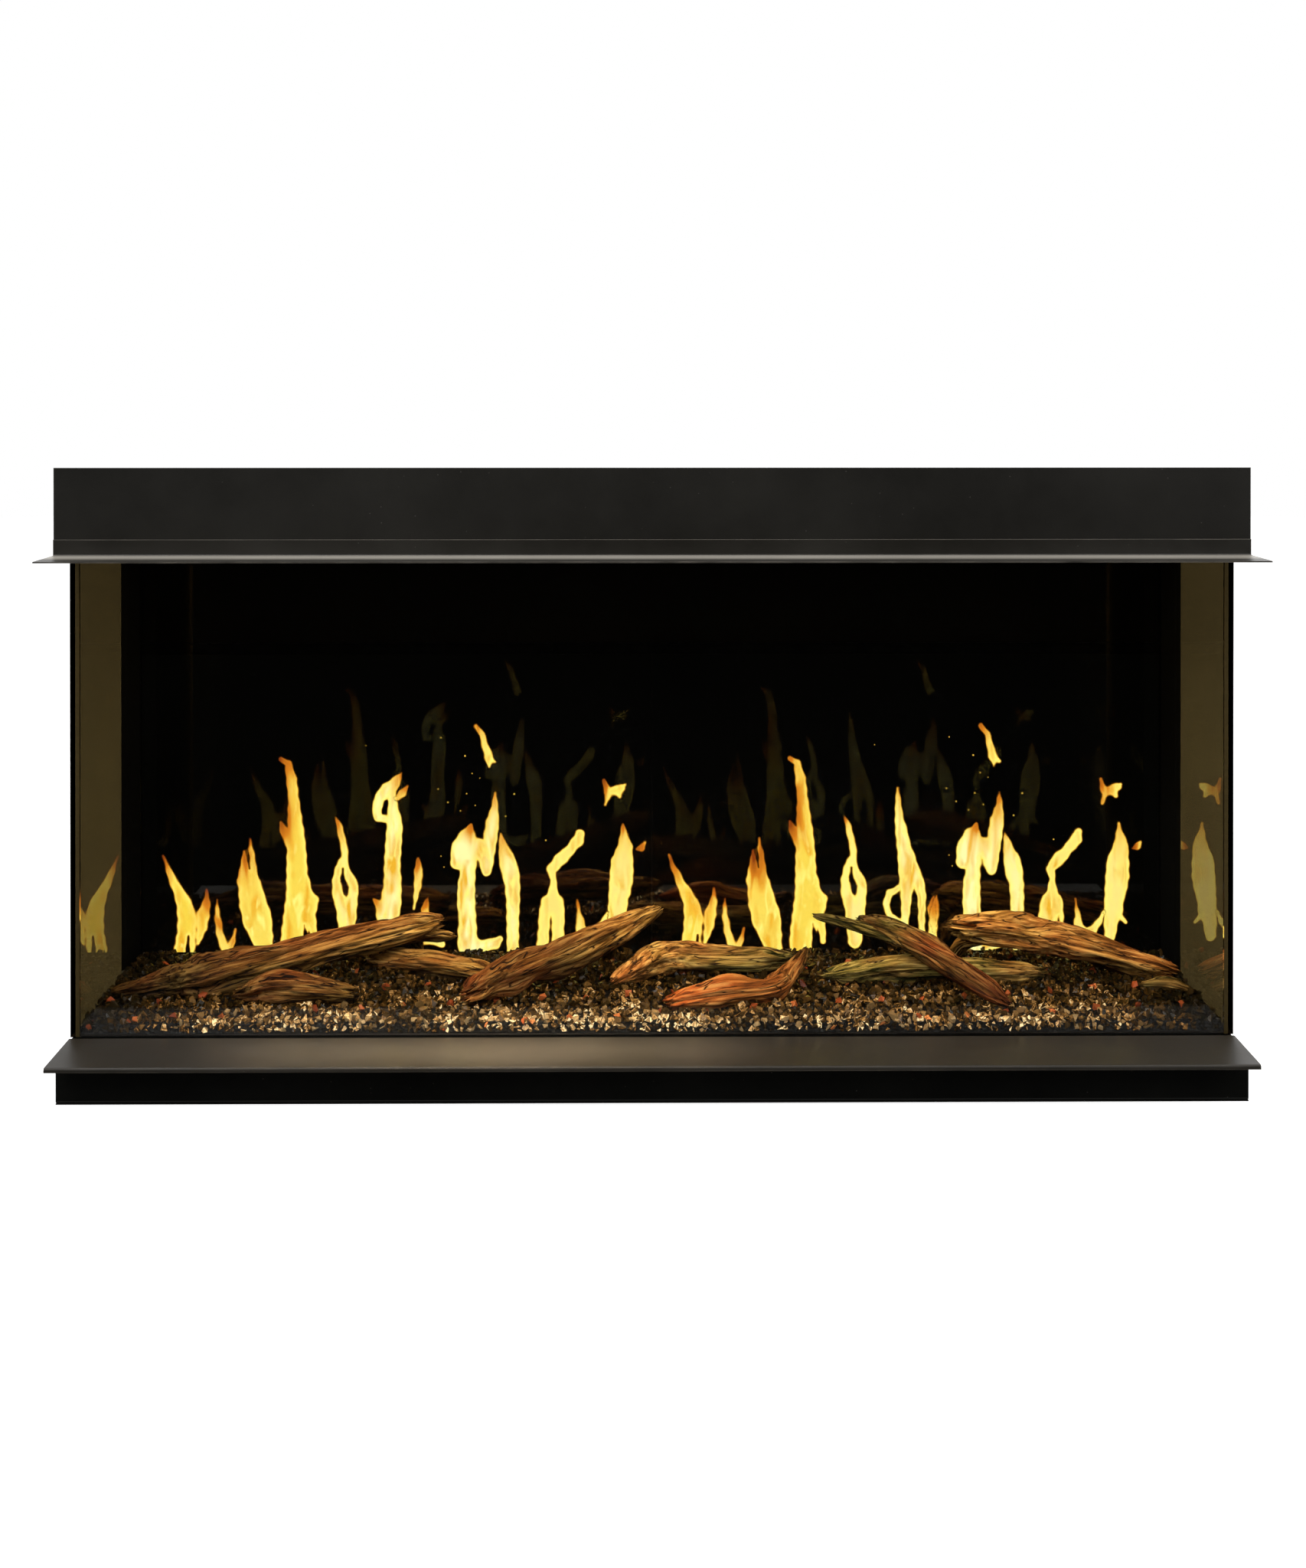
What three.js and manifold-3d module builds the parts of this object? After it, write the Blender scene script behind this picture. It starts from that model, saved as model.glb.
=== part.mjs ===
// Built-in electric fireplace with glass on three sides: a sheet-metal header and base, driftwood on a lit
// bed of crushed glass, two flame screens behind a dark cover glass, and a fan heater in the header.
// Millimetres. X runs to the right, Y to the rear, Z up. The origin is under the middle of the whole object.
import * as THREE from 'three';
import { mergeVertices } from 'three/addons/utils/BufferGeometryUtils.js';
import Module from 'manifold-3d';

const wasm = await Module();
wasm.setup();

// Driving dimensions of the whole object
const width = 1321;
const casingDepth = 347;
const trimReach = 68;
const baseHeight = 53.9;
const openingHeight = 550;
const headerHeight = 98;
const coverDrop = 20;
const baseSetback = 4.5;
const glassSetback = 55.5;
const ledgeReach = 91;
const rearChamber = 35.5;
const postReach = 60;

// Stock, folds and clearances that several pieces share
const sheet = 1.2;
const stoutSheet = 1.5;
const channelSheet = 1.2;
const bendRadius = 1;
const fold = 15;
const sideFold = 7;
const seat = 0.3;
const glassPlay = 0.6;
const overrun = 2;

// Places worked out from the driving dimensions
const halfWidth = width / 2;
const rearFace = (casingDepth + trimReach) / 2;
const headerFace = rearFace - casingDepth;
const baseFace = headerFace + baseSetback;
const glassFace = headerFace + glassSetback;
const screenFace = rearFace - rearChamber;
const sideGlassRear = screenFace - postReach;
const insideRear = rearFace - sheet - seat;
const panTop = sheet + seat;
const ledgeTop = baseHeight + seat + stoutSheet;
const headerBottom = ledgeTop + openingHeight;
const headerTop = headerBottom + headerHeight;
const coverTop = headerTop - coverDrop;
const coverSeat = coverTop - sheet - seat;
const soffitBottom = headerBottom + sheet + seat;
const soffitTop = soffitBottom + sheet;

// Finishes
const finish = (color, roughness, metalness) => (
  new THREE.MeshStandardMaterial({ color, roughness, metalness })
);
const glassFinish = (color, opacity) => {
  const made = finish(color, 0.05, 0);
  made.transparent = true;
  made.opacity = opacity;
  return made;
};
const blackPaint = finish(0x1d1c19, 0.55, 0.3);
const ledgePaint = finish(0x5c5140, 0.45, 0.4);
const galvanised = finish(0x8a8d8f, 0.4, 0.8);
const clearGlass = glassFinish(0x9a8a5c, 0.35);
const darkGlass = glassFinish(0x050504, 0.85);
const blackRubber = finish(0x0b0b0b, 0.8, 0);
const blackPlastic = finish(0x151515, 0.5, 0);
const smokedPlastic = finish(0x2a2420, 0.3, 0);
const crushedGlassFinish = finish(0x8a6a45, 0.2, 0);
const paleWood = finish(0x7a5a3a, 0.85, 0);
const redWood = finish(0x7e3f24, 0.85, 0);
const greenWood = finish(0x4f5638, 0.85, 0);
const circuitBoard = finish(0x1f4a2c, 0.6, 0);
const lampAluminium = finish(0xb8b8b4, 0.35, 0.9);

// The object as a scene: one group for each assembly
const fireplace = new THREE.Group();
const header = new THREE.Group();
const glazing = new THREE.Group();
const bed = new THREE.Group();
const heater = new THREE.Group();
const controls = new THREE.Group();
fireplace.add(header, glazing, bed);
header.add(heater, controls);
header.position.z = headerBottom;
glazing.position.z = ledgeTop;

function place(group, name, geometry, material) {
  const mesh = new THREE.Mesh(geometry, material);
  mesh.name = name;
  group.add(mesh);
  return mesh;
}

// Joins and cuts. Corners closer than the weld distance are one corner.
const weldDistance = 1e-4;

function solid(geometry) {
  const bare = geometry.index ? geometry.toNonIndexed() : geometry.clone();
  bare.deleteAttribute('normal');
  bare.deleteAttribute('uv');
  const merged = mergeVertices(bare, weldDistance);
  return new wasm.Manifold(new wasm.Mesh({
    numProp: 3,
    vertProperties: new Float32Array(merged.attributes.position.array),
    triVerts: new Uint32Array(merged.index.array),
  }));
}

function surface(body) {
  const mesh = body.getMesh();
  const geometry = new THREE.BufferGeometry();
  geometry.setAttribute('position', new THREE.BufferAttribute(mesh.vertProperties, 3));
  geometry.setIndex(new THREE.BufferAttribute(mesh.triVerts, 1));
  geometry.computeVertexNormals();
  return geometry;
}

const joined = (first, ...others) => surface(
  others.reduce((body, other) => body.add(solid(other)), solid(first)),
);
const cut = (first, ...others) => surface(
  others.reduce((body, other) => body.subtract(solid(other)), solid(first)),
);

// Straight-sided solids: a block between two values on each axis, and an upright cylinder between two heights
const roundSteps = 16;

function block([x0, x1], [y0, y1], [z0, z1]) {
  const geometry = new THREE.BoxGeometry(x1 - x0, y1 - y0, z1 - z0);
  return geometry.translate((x0 + x1) / 2, (y0 + y1) / 2, (z0 + z1) / 2);
}

function upright(radius, z0, z1, steps = roundSteps) {
  return new THREE.CylinderGeometry(radius, radius, z1 - z0, steps).rotateX(Math.PI / 2)
    .translate(0, 0, (z0 + z1) / 2);
}

// Outlines run along one axis. Along X an outline is (y, z), along Y it is (x, z), along Z it is (x, y).
const axisX = new THREE.Vector3(1, 0, 0);
const axisY = new THREE.Vector3(0, 1, 0);
const axisZ = new THREE.Vector3(0, 0, 1);

function run(outline, length, curveSegments) {
  return new THREE.ExtrudeGeometry(outline, { depth: length, bevelEnabled: false, curveSegments });
}

function alongX(outline, x0, x1, curveSegments = 8) {
  const frame = new THREE.Matrix4().makeBasis(axisY, axisZ, axisX).setPosition(x0, 0, 0);
  return run(outline, x1 - x0, curveSegments).applyMatrix4(frame);
}

function alongY(outline, y0, y1, curveSegments = 8) {
  const frame = new THREE.Matrix4().makeBasis(axisX, axisZ, axisY.clone().negate()).setPosition(0, y1, 0);
  return run(outline, y1 - y0, curveSegments).applyMatrix4(frame);
}

function alongZ(outline, z0, z1, curveSegments = 8) {
  return run(outline, z1 - z0, curveSegments).translate(0, 0, z0);
}

// A cutter for one slot through a flat sheet that lies between two heights
function slot(x, y, [length, breadth], [z0, z1]) {
  return block(
    [x - length / 2, x + length / 2],
    [y - breadth / 2, y + breadth / 2],
    [z0 - overrun, z1 + overrun],
  );
}

// The middles of a row of equal places across the width
function row(count, pitch) {
  return Array.from({ length: count }, (_, i) => (i - (count - 1) / 2) * pitch);
}

// Folded sheet: the path is the outer face, walked with the sheet on its left, and each bend is an arc
const bendSteps = 3;

function roundedPath(path, thickness, radius) {
  const points = path.map(([x, y]) => new THREE.Vector2(x, y));
  const smooth = [points[0]];
  for (let i = 1; i < points.length - 1; i += 1) {
    const before = points[i].clone().sub(points[i - 1]).normalize();
    const after = points[i + 1].clone().sub(points[i]).normalize();
    const turn = Math.atan2(before.cross(after), before.dot(after));
    const bend = turn > 0 ? radius + thickness : radius;
    const reach = bend * Math.tan(Math.abs(turn) / 2);
    const start = points[i].clone().addScaledVector(before, -reach);
    for (let step = 0; step <= bendSteps; step += 1) {
      const angle = Math.abs(turn) * step / bendSteps;
      const side = new THREE.Vector2(-before.y, before.x).multiplyScalar(Math.sign(turn));
      const point = start.clone().addScaledVector(before, bend * Math.sin(angle));
      smooth.push(point.addScaledVector(side, bend * (1 - Math.cos(angle))));
    }
  }
  smooth.push(points[points.length - 1]);
  return smooth;
}

function folded(path, thickness, radius = bendRadius) {
  const outer = roundedPath(path, thickness, radius);
  const normals = outer.slice(1).map((point, i) => {
    const along = point.clone().sub(outer[i]).normalize();
    return new THREE.Vector2(-along.y, along.x);
  });
  const inner = outer.map((point, i) => {
    const before = normals[Math.max(i - 1, 0)];
    const after = normals[Math.min(i, normals.length - 1)];
    const mitre = before.clone().add(after).divideScalar(1 + before.dot(after));
    return point.clone().addScaledVector(mitre, thickness);
  });
  return new THREE.Shape([...outer, ...inner.reverse()]);
}

// The same path for the right side (1) or the left side (-1); a mirrored path is walked the other way
function sided(path, side) {
  const turned = path.map(([x, y]) => [side * x, y]);
  return side < 0 ? turned.reverse() : turned;
}

const sidedRange = (x0, x1, side) => (side < 0 ? [-x1, -x0] : [x0, x1]);
const sides = [['left', -1], ['right', 1]];

// The corner reliefs that let a rail's returns pass inside the end plates
function cornerReliefs(y0, z0, z1) {
  const reach = fold + overrun;
  return sides.map(([, side]) => block(
    sidedRange(halfWidth - sheet - seat, halfWidth + overrun, side),
    [y0 + sheet, y0 + reach],
    [z0 - overrun, z1 + overrun],
  ));
}

// Base: a flat pan with vent slots, a folded front rail and two folded end plates
const ventCount = 12;
const ventPitch = width / (ventCount + 2);
const ventLength = 44;
const ventBreadth = 6;
const ventInset = 36;

const panLevels = [0, sheet];
const pan = block([-halfWidth, halfWidth], [baseFace, insideRear], panLevels);
const panVents = row(ventCount, ventPitch).flatMap((x) => [baseFace + ventInset, insideRear - ventInset].map(
  (y) => slot(x, y, [ventLength, ventBreadth], panLevels),
));
place(fireplace, 'base_pan', cut(pan, ...panVents), blackPaint);

const frontRailPath = [
  [baseFace + fold, baseHeight],
  [baseFace, baseHeight],
  [baseFace, panTop],
  [baseFace + fold, panTop],
];
const frontRail = alongX(folded(frontRailPath, sheet), -halfWidth, halfWidth);
const frontRailReliefs = cornerReliefs(baseFace, panTop, baseHeight);
place(fireplace, 'base_front_rail', cut(frontRail, ...frontRailReliefs), blackPaint);

// An end plate with a return at the top and one at the bottom, notched where the front rail's returns pass
function endPlate(face, z0, z1, side) {
  const path = sided([
    [halfWidth - sideFold, z0],
    [halfWidth, z0],
    [halfWidth, z1],
    [halfWidth - sideFold, z1],
  ], side);
  const notch = block(
    sidedRange(halfWidth - sideFold - overrun, halfWidth - sheet, side),
    [face, face + fold + seat],
    [z0 - overrun, z1 + overrun],
  );
  return cut(alongY(folded(path, sheet), face + sheet + seat, insideRear), notch);
}

for (const [hand, side] of sides) {
  place(fireplace, `base_${hand}_end`, endPlate(baseFace, panTop, baseHeight, side), blackPaint);
}

// Header: fascia, two end plates, cover, firebox ceiling and soffit strip, in the header's own frame
const localCover = coverTop - headerBottom;
const localCoverSeat = coverSeat - headerBottom;
const localSoffit = soffitBottom - headerBottom;
const localSoffitTop = soffitTop - headerBottom;

const fasciaPath = [
  [headerFace, headerHeight],
  [headerFace, 0],
  [headerFace + fold, 0],
];
const fascia = alongX(folded(fasciaPath, sheet), -halfWidth, halfWidth);
place(header, 'header_fascia', cut(fascia, ...cornerReliefs(headerFace, 0, localSoffit)), blackPaint);

for (const [hand, side] of sides) {
  place(header, `header_${hand}_end`, endPlate(headerFace, 0, localCoverSeat, side), blackPaint);
}

// Channels that hold the front glass: a shallow one below, and a deep one above that the glass lifts into
const frontGlassThickness = 5;
const sideGlassThickness = 6;
const lowerChannelDepth = 14;
const glassEngagement = 8;
const liftClearance = 1;
const channelFront = glassFace - glassPlay - channelSheet;
const channelRear = glassFace + frontGlassThickness + glassPlay + channelSheet;
const channelHalf = halfWidth - sideFold - seat;
const glassLift = lowerChannelDepth - channelSheet - seat + liftClearance;
const upperChannelDepth = glassEngagement + glassLift + glassPlay + channelSheet;

const lowerChannelPath = [
  [channelFront, 0],
  [channelFront, -lowerChannelDepth],
  [channelRear, -lowerChannelDepth],
  [channelRear, 0],
];
const lowerChannel = alongX(folded(lowerChannelPath, channelSheet, seat), -channelHalf, channelHalf);
place(glazing, 'front_lower_channel', lowerChannel, blackPaint);

const upperChannelPath = [
  [channelRear, 0],
  [channelRear, upperChannelDepth],
  [channelFront, upperChannelDepth],
  [channelFront, 0],
];
const upperChannel = alongX(folded(upperChannelPath, channelSheet, seat), -channelHalf, channelHalf);
place(header, 'front_upper_channel', upperChannel, blackPaint);

// Cable gland in the header cover: a hexagon flange, a sleeve and a domed clamping nut round one bore
const glandSideShare = -0.86;
const glandFromFace = 44.5;
const glandBore = 6;
const glandSleeve = 9;
const glandFlange = 13;
const glandFlangeHeight = 5;
const glandDome = 10.5;
const glandDomeHeight = 9;
const glandTail = 10;
const glandSides = 20;
const glandFlangeSides = 6;
const glandX = glandSideShare * halfWidth;
const glandY = headerFace + glandFromFace;

// The blower: its wheel turns about X over the outlet slots
const wheelRadius = 20;
const wheelLength = 276;
const wheelGap = 3;
const scrollGap = 7;
const throatWidth = 34;
const throatHeight = 26;
const wallSheet = 1;
const scrollHalf = wheelLength / 2 + wheelGap;
const scrollFront = wheelRadius + scrollGap;
const soffitMiddle = (headerFace + fold + channelFront) / 2;
const axleY = soffitMiddle - throatWidth / 2 + scrollFront;
const axleDrop = wheelRadius + throatHeight;
const axleZ = localSoffitTop + seat + axleDrop;
heater.position.set(0, axleY, axleZ);

// Header cover with intake slots over the blower
const intakeCount = 16;
const intakePitch = wheelLength / (intakeCount - 1);
const intakeLength = 70;
const intakeBreadth = 6;
const coverLevels = [localCover - sheet, localCover];
const cover = block([-halfWidth, halfWidth], [headerFace + sheet + seat, rearFace], coverLevels);
const intakes = row(intakeCount, intakePitch).map((x) => (
  slot(x, axleY + intakeLength / 2, [intakeBreadth, intakeLength], coverLevels)
));
const glandHole = upright(glandSleeve + seat, coverLevels[0] - overrun, coverLevels[1] + overrun, glandSides)
  .translate(glandX, glandY, 0);
place(header, 'header_cover', cut(cover, ...intakes, glandHole), blackPaint);

const ceilingHalf = halfWidth - sheet - bendRadius - seat;
const soffitLevels = [localSoffit, localSoffitTop];
const ceiling = block([-ceilingHalf, ceilingHalf], [channelRear + seat, insideRear], soffitLevels);
place(header, 'firebox_ceiling', ceiling, blackPaint);

// Soffit strip ahead of the glass, punched for the warm air and for the control panel
const outletCount = 20;
const outletPitch = wheelLength / (outletCount + 1);
const outletLength = 28;
const outletBreadth = 7;
const panelFromEnd = 92;
const panelLength = 84;
const panelBreadth = 24;
const panelX = halfWidth - panelFromEnd;
const soffitFront = headerFace + sheet + bendRadius + seat;
const soffit = block([-ceilingHalf, ceilingHalf], [soffitFront, channelFront - seat], soffitLevels);
const outlets = row(outletCount, outletPitch).map((x) => (
  slot(x, soffitMiddle, [outletBreadth, outletLength], soffitLevels)
));
const panelHole = slot(panelX, soffitMiddle, [panelLength, panelBreadth], soffitLevels);
place(header, 'soffit_strip', cut(soffit, ...outlets, panelHole), blackPaint);

// Top trim: an angle whose leg lies on the fascia and whose flange reaches forward
const trimLeg = 19;
const trimPath = [
  [headerFace - seat, trimLeg],
  [headerFace - seat, 0],
  [headerFace - trimReach, 0],
];
const trimOutline = folded([...trimPath].reverse(), stoutSheet);
place(header, 'top_trim_angle', alongX(trimOutline, -halfWidth, halfWidth), ledgePaint);

// Rear panel: one folded sheet from the floor to the cover, with a row of vents behind the base and one
// behind the header
const rearVentCount = 12;
const rearVentPitch = width / (rearVentCount + 2);
const rearVentHeight = 34;
const rearVentBreadth = 8;
const rearPanelPath = [
  [rearFace, 0],
  [rearFace, coverSeat],
  [rearFace - fold, coverSeat],
];
const rearVentLevels = [baseHeight / 2, (soffitTop + coverSeat) / 2];
const rearVents = row(rearVentCount, rearVentPitch).flatMap((x) => rearVentLevels.map((z) => block(
  [x - rearVentBreadth / 2, x + rearVentBreadth / 2],
  [insideRear - overrun, rearFace + overrun],
  [z - rearVentHeight / 2, z + rearVentHeight / 2],
)));
const rearCorners = sides.map(([, side]) => block(
  sidedRange(halfWidth - sideFold - seat, halfWidth + overrun, side),
  [rearFace - fold - overrun, rearFace - sheet],
  [coverSeat - fold, coverSeat + overrun],
));
const rearPanel = alongX(folded(rearPanelPath, sheet), -halfWidth, halfWidth);
place(fireplace, 'rear_panel', cut(rearPanel, ...rearCorners, ...rearVents), blackPaint);

// Flame screens: two panels side by side behind one dark cover glass, in a lower and an upper rail
const coverGlassThickness = 4;
const displayGap = 4;
const displayThickness = 12;
const displayHeight = 408;
const displayPitch = channelHalf - glassPlay;
const displaySideGap = 0.4;
const activeSideBorder = 1.3;
const activeWidth = displayPitch - 2 * activeSideBorder;
const activeHeight = 381;
const activeFromTop = 13;
const activeRecess = 0.5;
const chassisInset = 22;
const screenLip = 12;
const emberRise = 16;
const bedThickness = 16;
const trayThickness = 4;
const bedTop = ledgeTop + emberRise;
const trayTop = bedTop - bedThickness - seat;
const trayBottom = trayTop - trayThickness;
const railTop = trayBottom - seat;
const displayFront = screenFace + coverGlassThickness + displayGap;
const displayRear = displayFront + displayThickness;
const screenRailFront = screenFace - glassPlay - channelSheet;
const screenRailRear = displayRear + glassPlay + channelSheet;
const screenRailBottom = railTop + seat;
const screenBottom = screenRailBottom + channelSheet + seat;
const displayTop = screenBottom + displayHeight;

// Rear posts: folded channels behind the side glass that also hide the edges of the screens
const postFront = sideGlassRear + seat;
const postBottom = baseHeight + seat;
const postTop = headerBottom - seat;
for (const [hand, side] of sides) {
  const path = sided([
    [halfWidth - sideFold, displayRear],
    [halfWidth - sideFold, postFront],
    [halfWidth, postFront],
    [halfWidth, insideRear],
  ], side);
  place(fireplace, `${hand}_rear_post`, alongZ(folded(path, sheet), postBottom, postTop), blackPaint);
}

const lowerRailPath = [
  [screenRailFront, screenRailBottom + screenLip],
  [screenRailFront, screenRailBottom],
  [screenRailRear, screenRailBottom],
  [screenRailRear, screenRailBottom + screenLip],
];
place(fireplace, 'display_rail_lower',
  alongX(folded(lowerRailPath, channelSheet), -channelHalf, channelHalf), blackPaint);

const upperRailTop = displayTop + seat + channelSheet;
const upperRailPath = [
  [screenRailRear, upperRailTop - screenLip],
  [screenRailRear, upperRailTop],
  [displayFront - glassPlay - channelSheet, upperRailTop],
  [displayFront - glassPlay - channelSheet, upperRailTop - screenLip],
];
place(fireplace, 'display_rail_upper',
  alongX(folded(upperRailPath, channelSheet), -channelHalf, channelHalf), blackPaint);

place(fireplace, 'display_cover_glass', block(
  [-channelHalf, channelHalf],
  [screenFace, screenFace + coverGlassThickness],
  [screenBottom, postTop],
), darkGlass);

const chassisFront = displayFront + displayThickness / 2;
for (const [hand, side] of sides) {
  const middle = side * displayPitch / 2;
  const half = (displayPitch - displaySideGap) / 2;
  const frame = block(
    [middle - half, middle + half],
    [displayFront, chassisFront],
    [screenBottom, displayTop],
  );
  const chassis = block(
    [middle - half + chassisInset, middle + half - chassisInset],
    [chassisFront - overrun, displayRear],
    [screenBottom + chassisInset, displayTop - chassisInset],
  );
  const picture = block(
    [middle - activeWidth / 2, middle + activeWidth / 2],
    [displayFront - overrun, displayFront + activeRecess],
    [displayTop - activeFromTop - activeHeight, displayTop - activeFromTop],
  );
  const display = solid(frame).add(solid(chassis)).subtract(solid(picture));
  place(fireplace, `flame_display_${hand}`, surface(display), blackPlastic);
}

// Glass: a front pane between two side panes, each side pane standing in an angle on the base's end plate
const sealWidth = 4;
const restLeg = 6;
const sidePaneInner = halfWidth - sideGlassThickness;
const restInner = sidePaneInner - seat - channelSheet;
const sidePaneBottom = postBottom + channelSheet + seat;
const sealInner = sidePaneInner - seat - sealWidth;
const frontPaneHalf = sealInner - seat;

place(glazing, 'front_glass', block(
  [-frontPaneHalf, frontPaneHalf],
  [glassFace, glassFace + frontGlassThickness],
  [channelSheet + seat - lowerChannelDepth, openingHeight + glassEngagement],
), clearGlass);

for (const [hand, side] of sides) {
  place(fireplace, `${hand}_side_glass`, block(
    sidedRange(sidePaneInner, halfWidth, side),
    [glassFace, sideGlassRear],
    [sidePaneBottom, postTop],
  ), clearGlass);
  const restPath = sided([
    [restInner + channelSheet, postBottom + channelSheet + restLeg],
    [restInner + channelSheet, postBottom + channelSheet],
    [halfWidth, postBottom + channelSheet],
  ], side);
  const restOutline = folded([...restPath].reverse(), channelSheet, seat);
  const rest = alongY(restOutline, channelRear + seat, sideGlassRear);
  place(fireplace, `${hand}_glass_rest`, rest, blackPaint);
  place(glazing, `${hand}_corner_seal`, block(
    sidedRange(sealInner, sealInner + sealWidth, side),
    [glassFace, glassFace + frontGlassThickness],
    [seat, openingHeight - seat],
  ), blackRubber);
}

// Front ledge: a strip ahead of the glass with a small lip at the front and a turned-down rear edge
const ledgeLip = 5;
const ledgeRearTurn = 8;
const ledgeRear = channelFront - seat;
const ledgeFront = glassFace - ledgeReach;
const ledgePath = [
  [ledgeRear, ledgeTop - ledgeRearTurn],
  [ledgeRear, ledgeTop],
  [ledgeFront, ledgeTop],
  [ledgeFront, ledgeTop - ledgeLip],
];
const ledgeCorners = sides.map(([, side]) => block(
  sidedRange(channelHalf, halfWidth + overrun, side),
  [ledgeRear - fold, ledgeRear + overrun],
  [ledgeTop - ledgeRearTurn - overrun, ledgeTop - stoutSheet],
));
const ledge = alongX(folded(ledgePath, stoutSheet), -halfWidth, halfWidth);
place(fireplace, 'front_ledge', cut(ledge, ...ledgeCorners), ledgePaint);

// Cross rails on the pan: the front one carries the glass channel and the tray, the rear one the tray and
// the screens
const stepFace = channelRear + seat;
const shelfTop = ledgeTop - lowerChannelDepth - seat;
const frontTrayRailPath = [
  [stepFace + fold, railTop],
  [stepFace, railTop],
  [stepFace, shelfTop],
  [channelFront, shelfTop],
  [channelFront, panTop],
  [channelFront + fold, panTop],
];
place(fireplace, 'tray_rail_front',
  alongX(folded(frontTrayRailPath, channelSheet), -channelHalf, channelHalf), galvanised);

const rearTrayRailPath = [
  [screenRailRear, railTop],
  [screenRailFront - fold, railTop],
  [screenRailFront - fold, panTop],
  [screenRailFront, panTop],
];
place(fireplace, 'tray_rail_rear',
  alongX(folded(rearTrayRailPath, channelSheet), -channelHalf, channelHalf), galvanised);

// Ember light bar under the tray: a folded bracket with a row of raised lamps
const lampCount = 20;
const lampSize = 5;
const lampHeight = 1.5;
const lampSink = 0.2;
const lightBarHeight = 34;
const lightBarDepth = 30;
const lightBarEndGap = 30;
const lightBarHalf = channelHalf - lightBarEndGap;
const lampPitch = 2 * lightBarHalf / (lampCount + 1);
const bedFront = channelRear + seat;
const bedRear = screenRailFront - seat;
const bedLength = bedRear - bedFront;
const lightBarFront = bedFront + (bedLength - lightBarDepth) / 2;
const lightBarPath = [
  [lightBarFront + lightBarDepth, lightBarHeight],
  [lightBarFront, lightBarHeight],
  [lightBarFront, panTop],
  [lightBarFront + fold, panTop],
];

function lamps(y, z, direction) {
  return row(lampCount, lampPitch).map((x) => {
    const [low, high] = [z - direction * lampSink, z + direction * lampHeight].sort((a, b) => a - b);
    return block([x - lampSize / 2, x + lampSize / 2], [y - lampSize / 2, y + lampSize / 2], [low, high]);
  });
}

const lightBracket = alongX(folded(lightBarPath, channelSheet), -lightBarHalf, lightBarHalf);
const lampRow = lamps(lightBarFront + lightBarDepth / 2, lightBarHeight, 1);
place(fireplace, 'ember_light_bar', joined(lightBracket, ...lampRow), lampAluminium);

// Ember tray: smoked plastic, with the crushed glass on it
const bedHalf = restInner - seat;
const tray = block([-bedHalf, bedHalf], [bedFront, bedRear], [trayBottom, trayTop]);
place(fireplace, 'ember_tray', tray, smokedPlastic);

bed.position.set(0, bedFront, bedTop);

// The heaped surface of the crushed glass, in the bed's own frame, where z is zero at its mean level
const heapHeight = 2.4;
const heapColumns = 38;
const heapRows = 8;
const heapWaves = [[11, 3, 0.6], [23, 2, 1.9], [7, 5, 4.1], [31, 7, 2.7]];

function heap(xShare, yShare) {
  const sum = heapWaves.reduce((total, [across, deep, phase]) => (
    total + Math.sin(across * xShare * Math.PI + phase) * Math.cos(deep * yShare * Math.PI + phase * across)
  ), 0);
  return heapHeight * sum / heapWaves.length;
}

const heaped = new THREE.BoxGeometry(2 * bedHalf, bedLength, bedThickness, heapColumns, heapRows, 1);
heaped.translate(0, bedLength / 2, -bedThickness / 2);
const heapedPlaces = heaped.attributes.position;
for (let i = 0; i < heapedPlaces.count; i += 1) {
  if (heapedPlaces.getZ(i) > -bedThickness / 2) {
    heapedPlaces.setZ(i, heap(heapedPlaces.getX(i) / bedHalf, heapedPlaces.getY(i) / bedLength));
  }
}
const crushedGlass = solid(heaped);
place(bed, 'crushed_glass', surface(crushedGlass), crushedGlassFinish);

// Driftwood. Each point of a branch gives its place as shares of the bed's half width and of its length
// from front to rear, the height of its underside as a share of the highest branch end's, and its girth as
// a share of the thickest.
const logRise = 70;
const logGirth = 21;
const logPress = 4;
const logSides = 10;
const flatnessShare = 0.86;
const grooveShare = 0.1;
const knotShare = 0.16;
const endBulgeShare = 0.35;

function branch({ shares, twist, rings }) {
  const spine = new THREE.CatmullRomCurve3(shares.map(([x, y, rise, girth]) => new THREE.Vector3(
    x * bedHalf,
    y * bedLength,
    rise * logRise + girth * logGirth * flatnessShare - logPress,
  )));
  const girths = new THREE.SplineCurve(shares.map((share, i) => new THREE.Vector2(i, share[3] * logGirth)));
  const geometry = new THREE.CylinderGeometry(1, 1, 1, logSides, rings);
  const places = geometry.attributes.position;
  for (let i = 0; i < places.count; i += 1) {
    const [x, y, z] = [places.getX(i), places.getY(i), places.getZ(i)];
    const share = THREE.MathUtils.clamp(y + 0.5, 0, 1);
    const angle = Math.atan2(-z, x);
    const girth = girths.getPoint(share).y;
    const along = spine.getTangent(share);
    const across = new THREE.Vector3().crossVectors(axisZ, along).normalize();
    const upward = new THREE.Vector3().crossVectors(along, across);
    const groove = Math.sin(3 * angle + twist * share * Math.PI)
      + Math.sin(5 * angle - 2 * twist * share + twist);
    const knot = Math.sin(twist + 9 * share) * Math.cos(angle + twist * 3 * share);
    const radius = Math.hypot(x, z) * girth * (1 + grooveShare * groove + knotShare * knot);
    const bulge = Math.hypot(x, z) < 0.5 ? Math.sign(y) * endBulgeShare * girth : 0;
    const point = spine.getPoint(share).addScaledVector(across, radius * Math.cos(angle));
    point.addScaledVector(upward, radius * flatnessShare * Math.sin(angle)).addScaledVector(along, bulge);
    places.setXYZ(i, point.x, point.y, point.z);
  }
  return solid(geometry);
}

// A log that crosses another is let down until it meets it, and stays the seating gap above
const restStep = 0.02;

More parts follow.
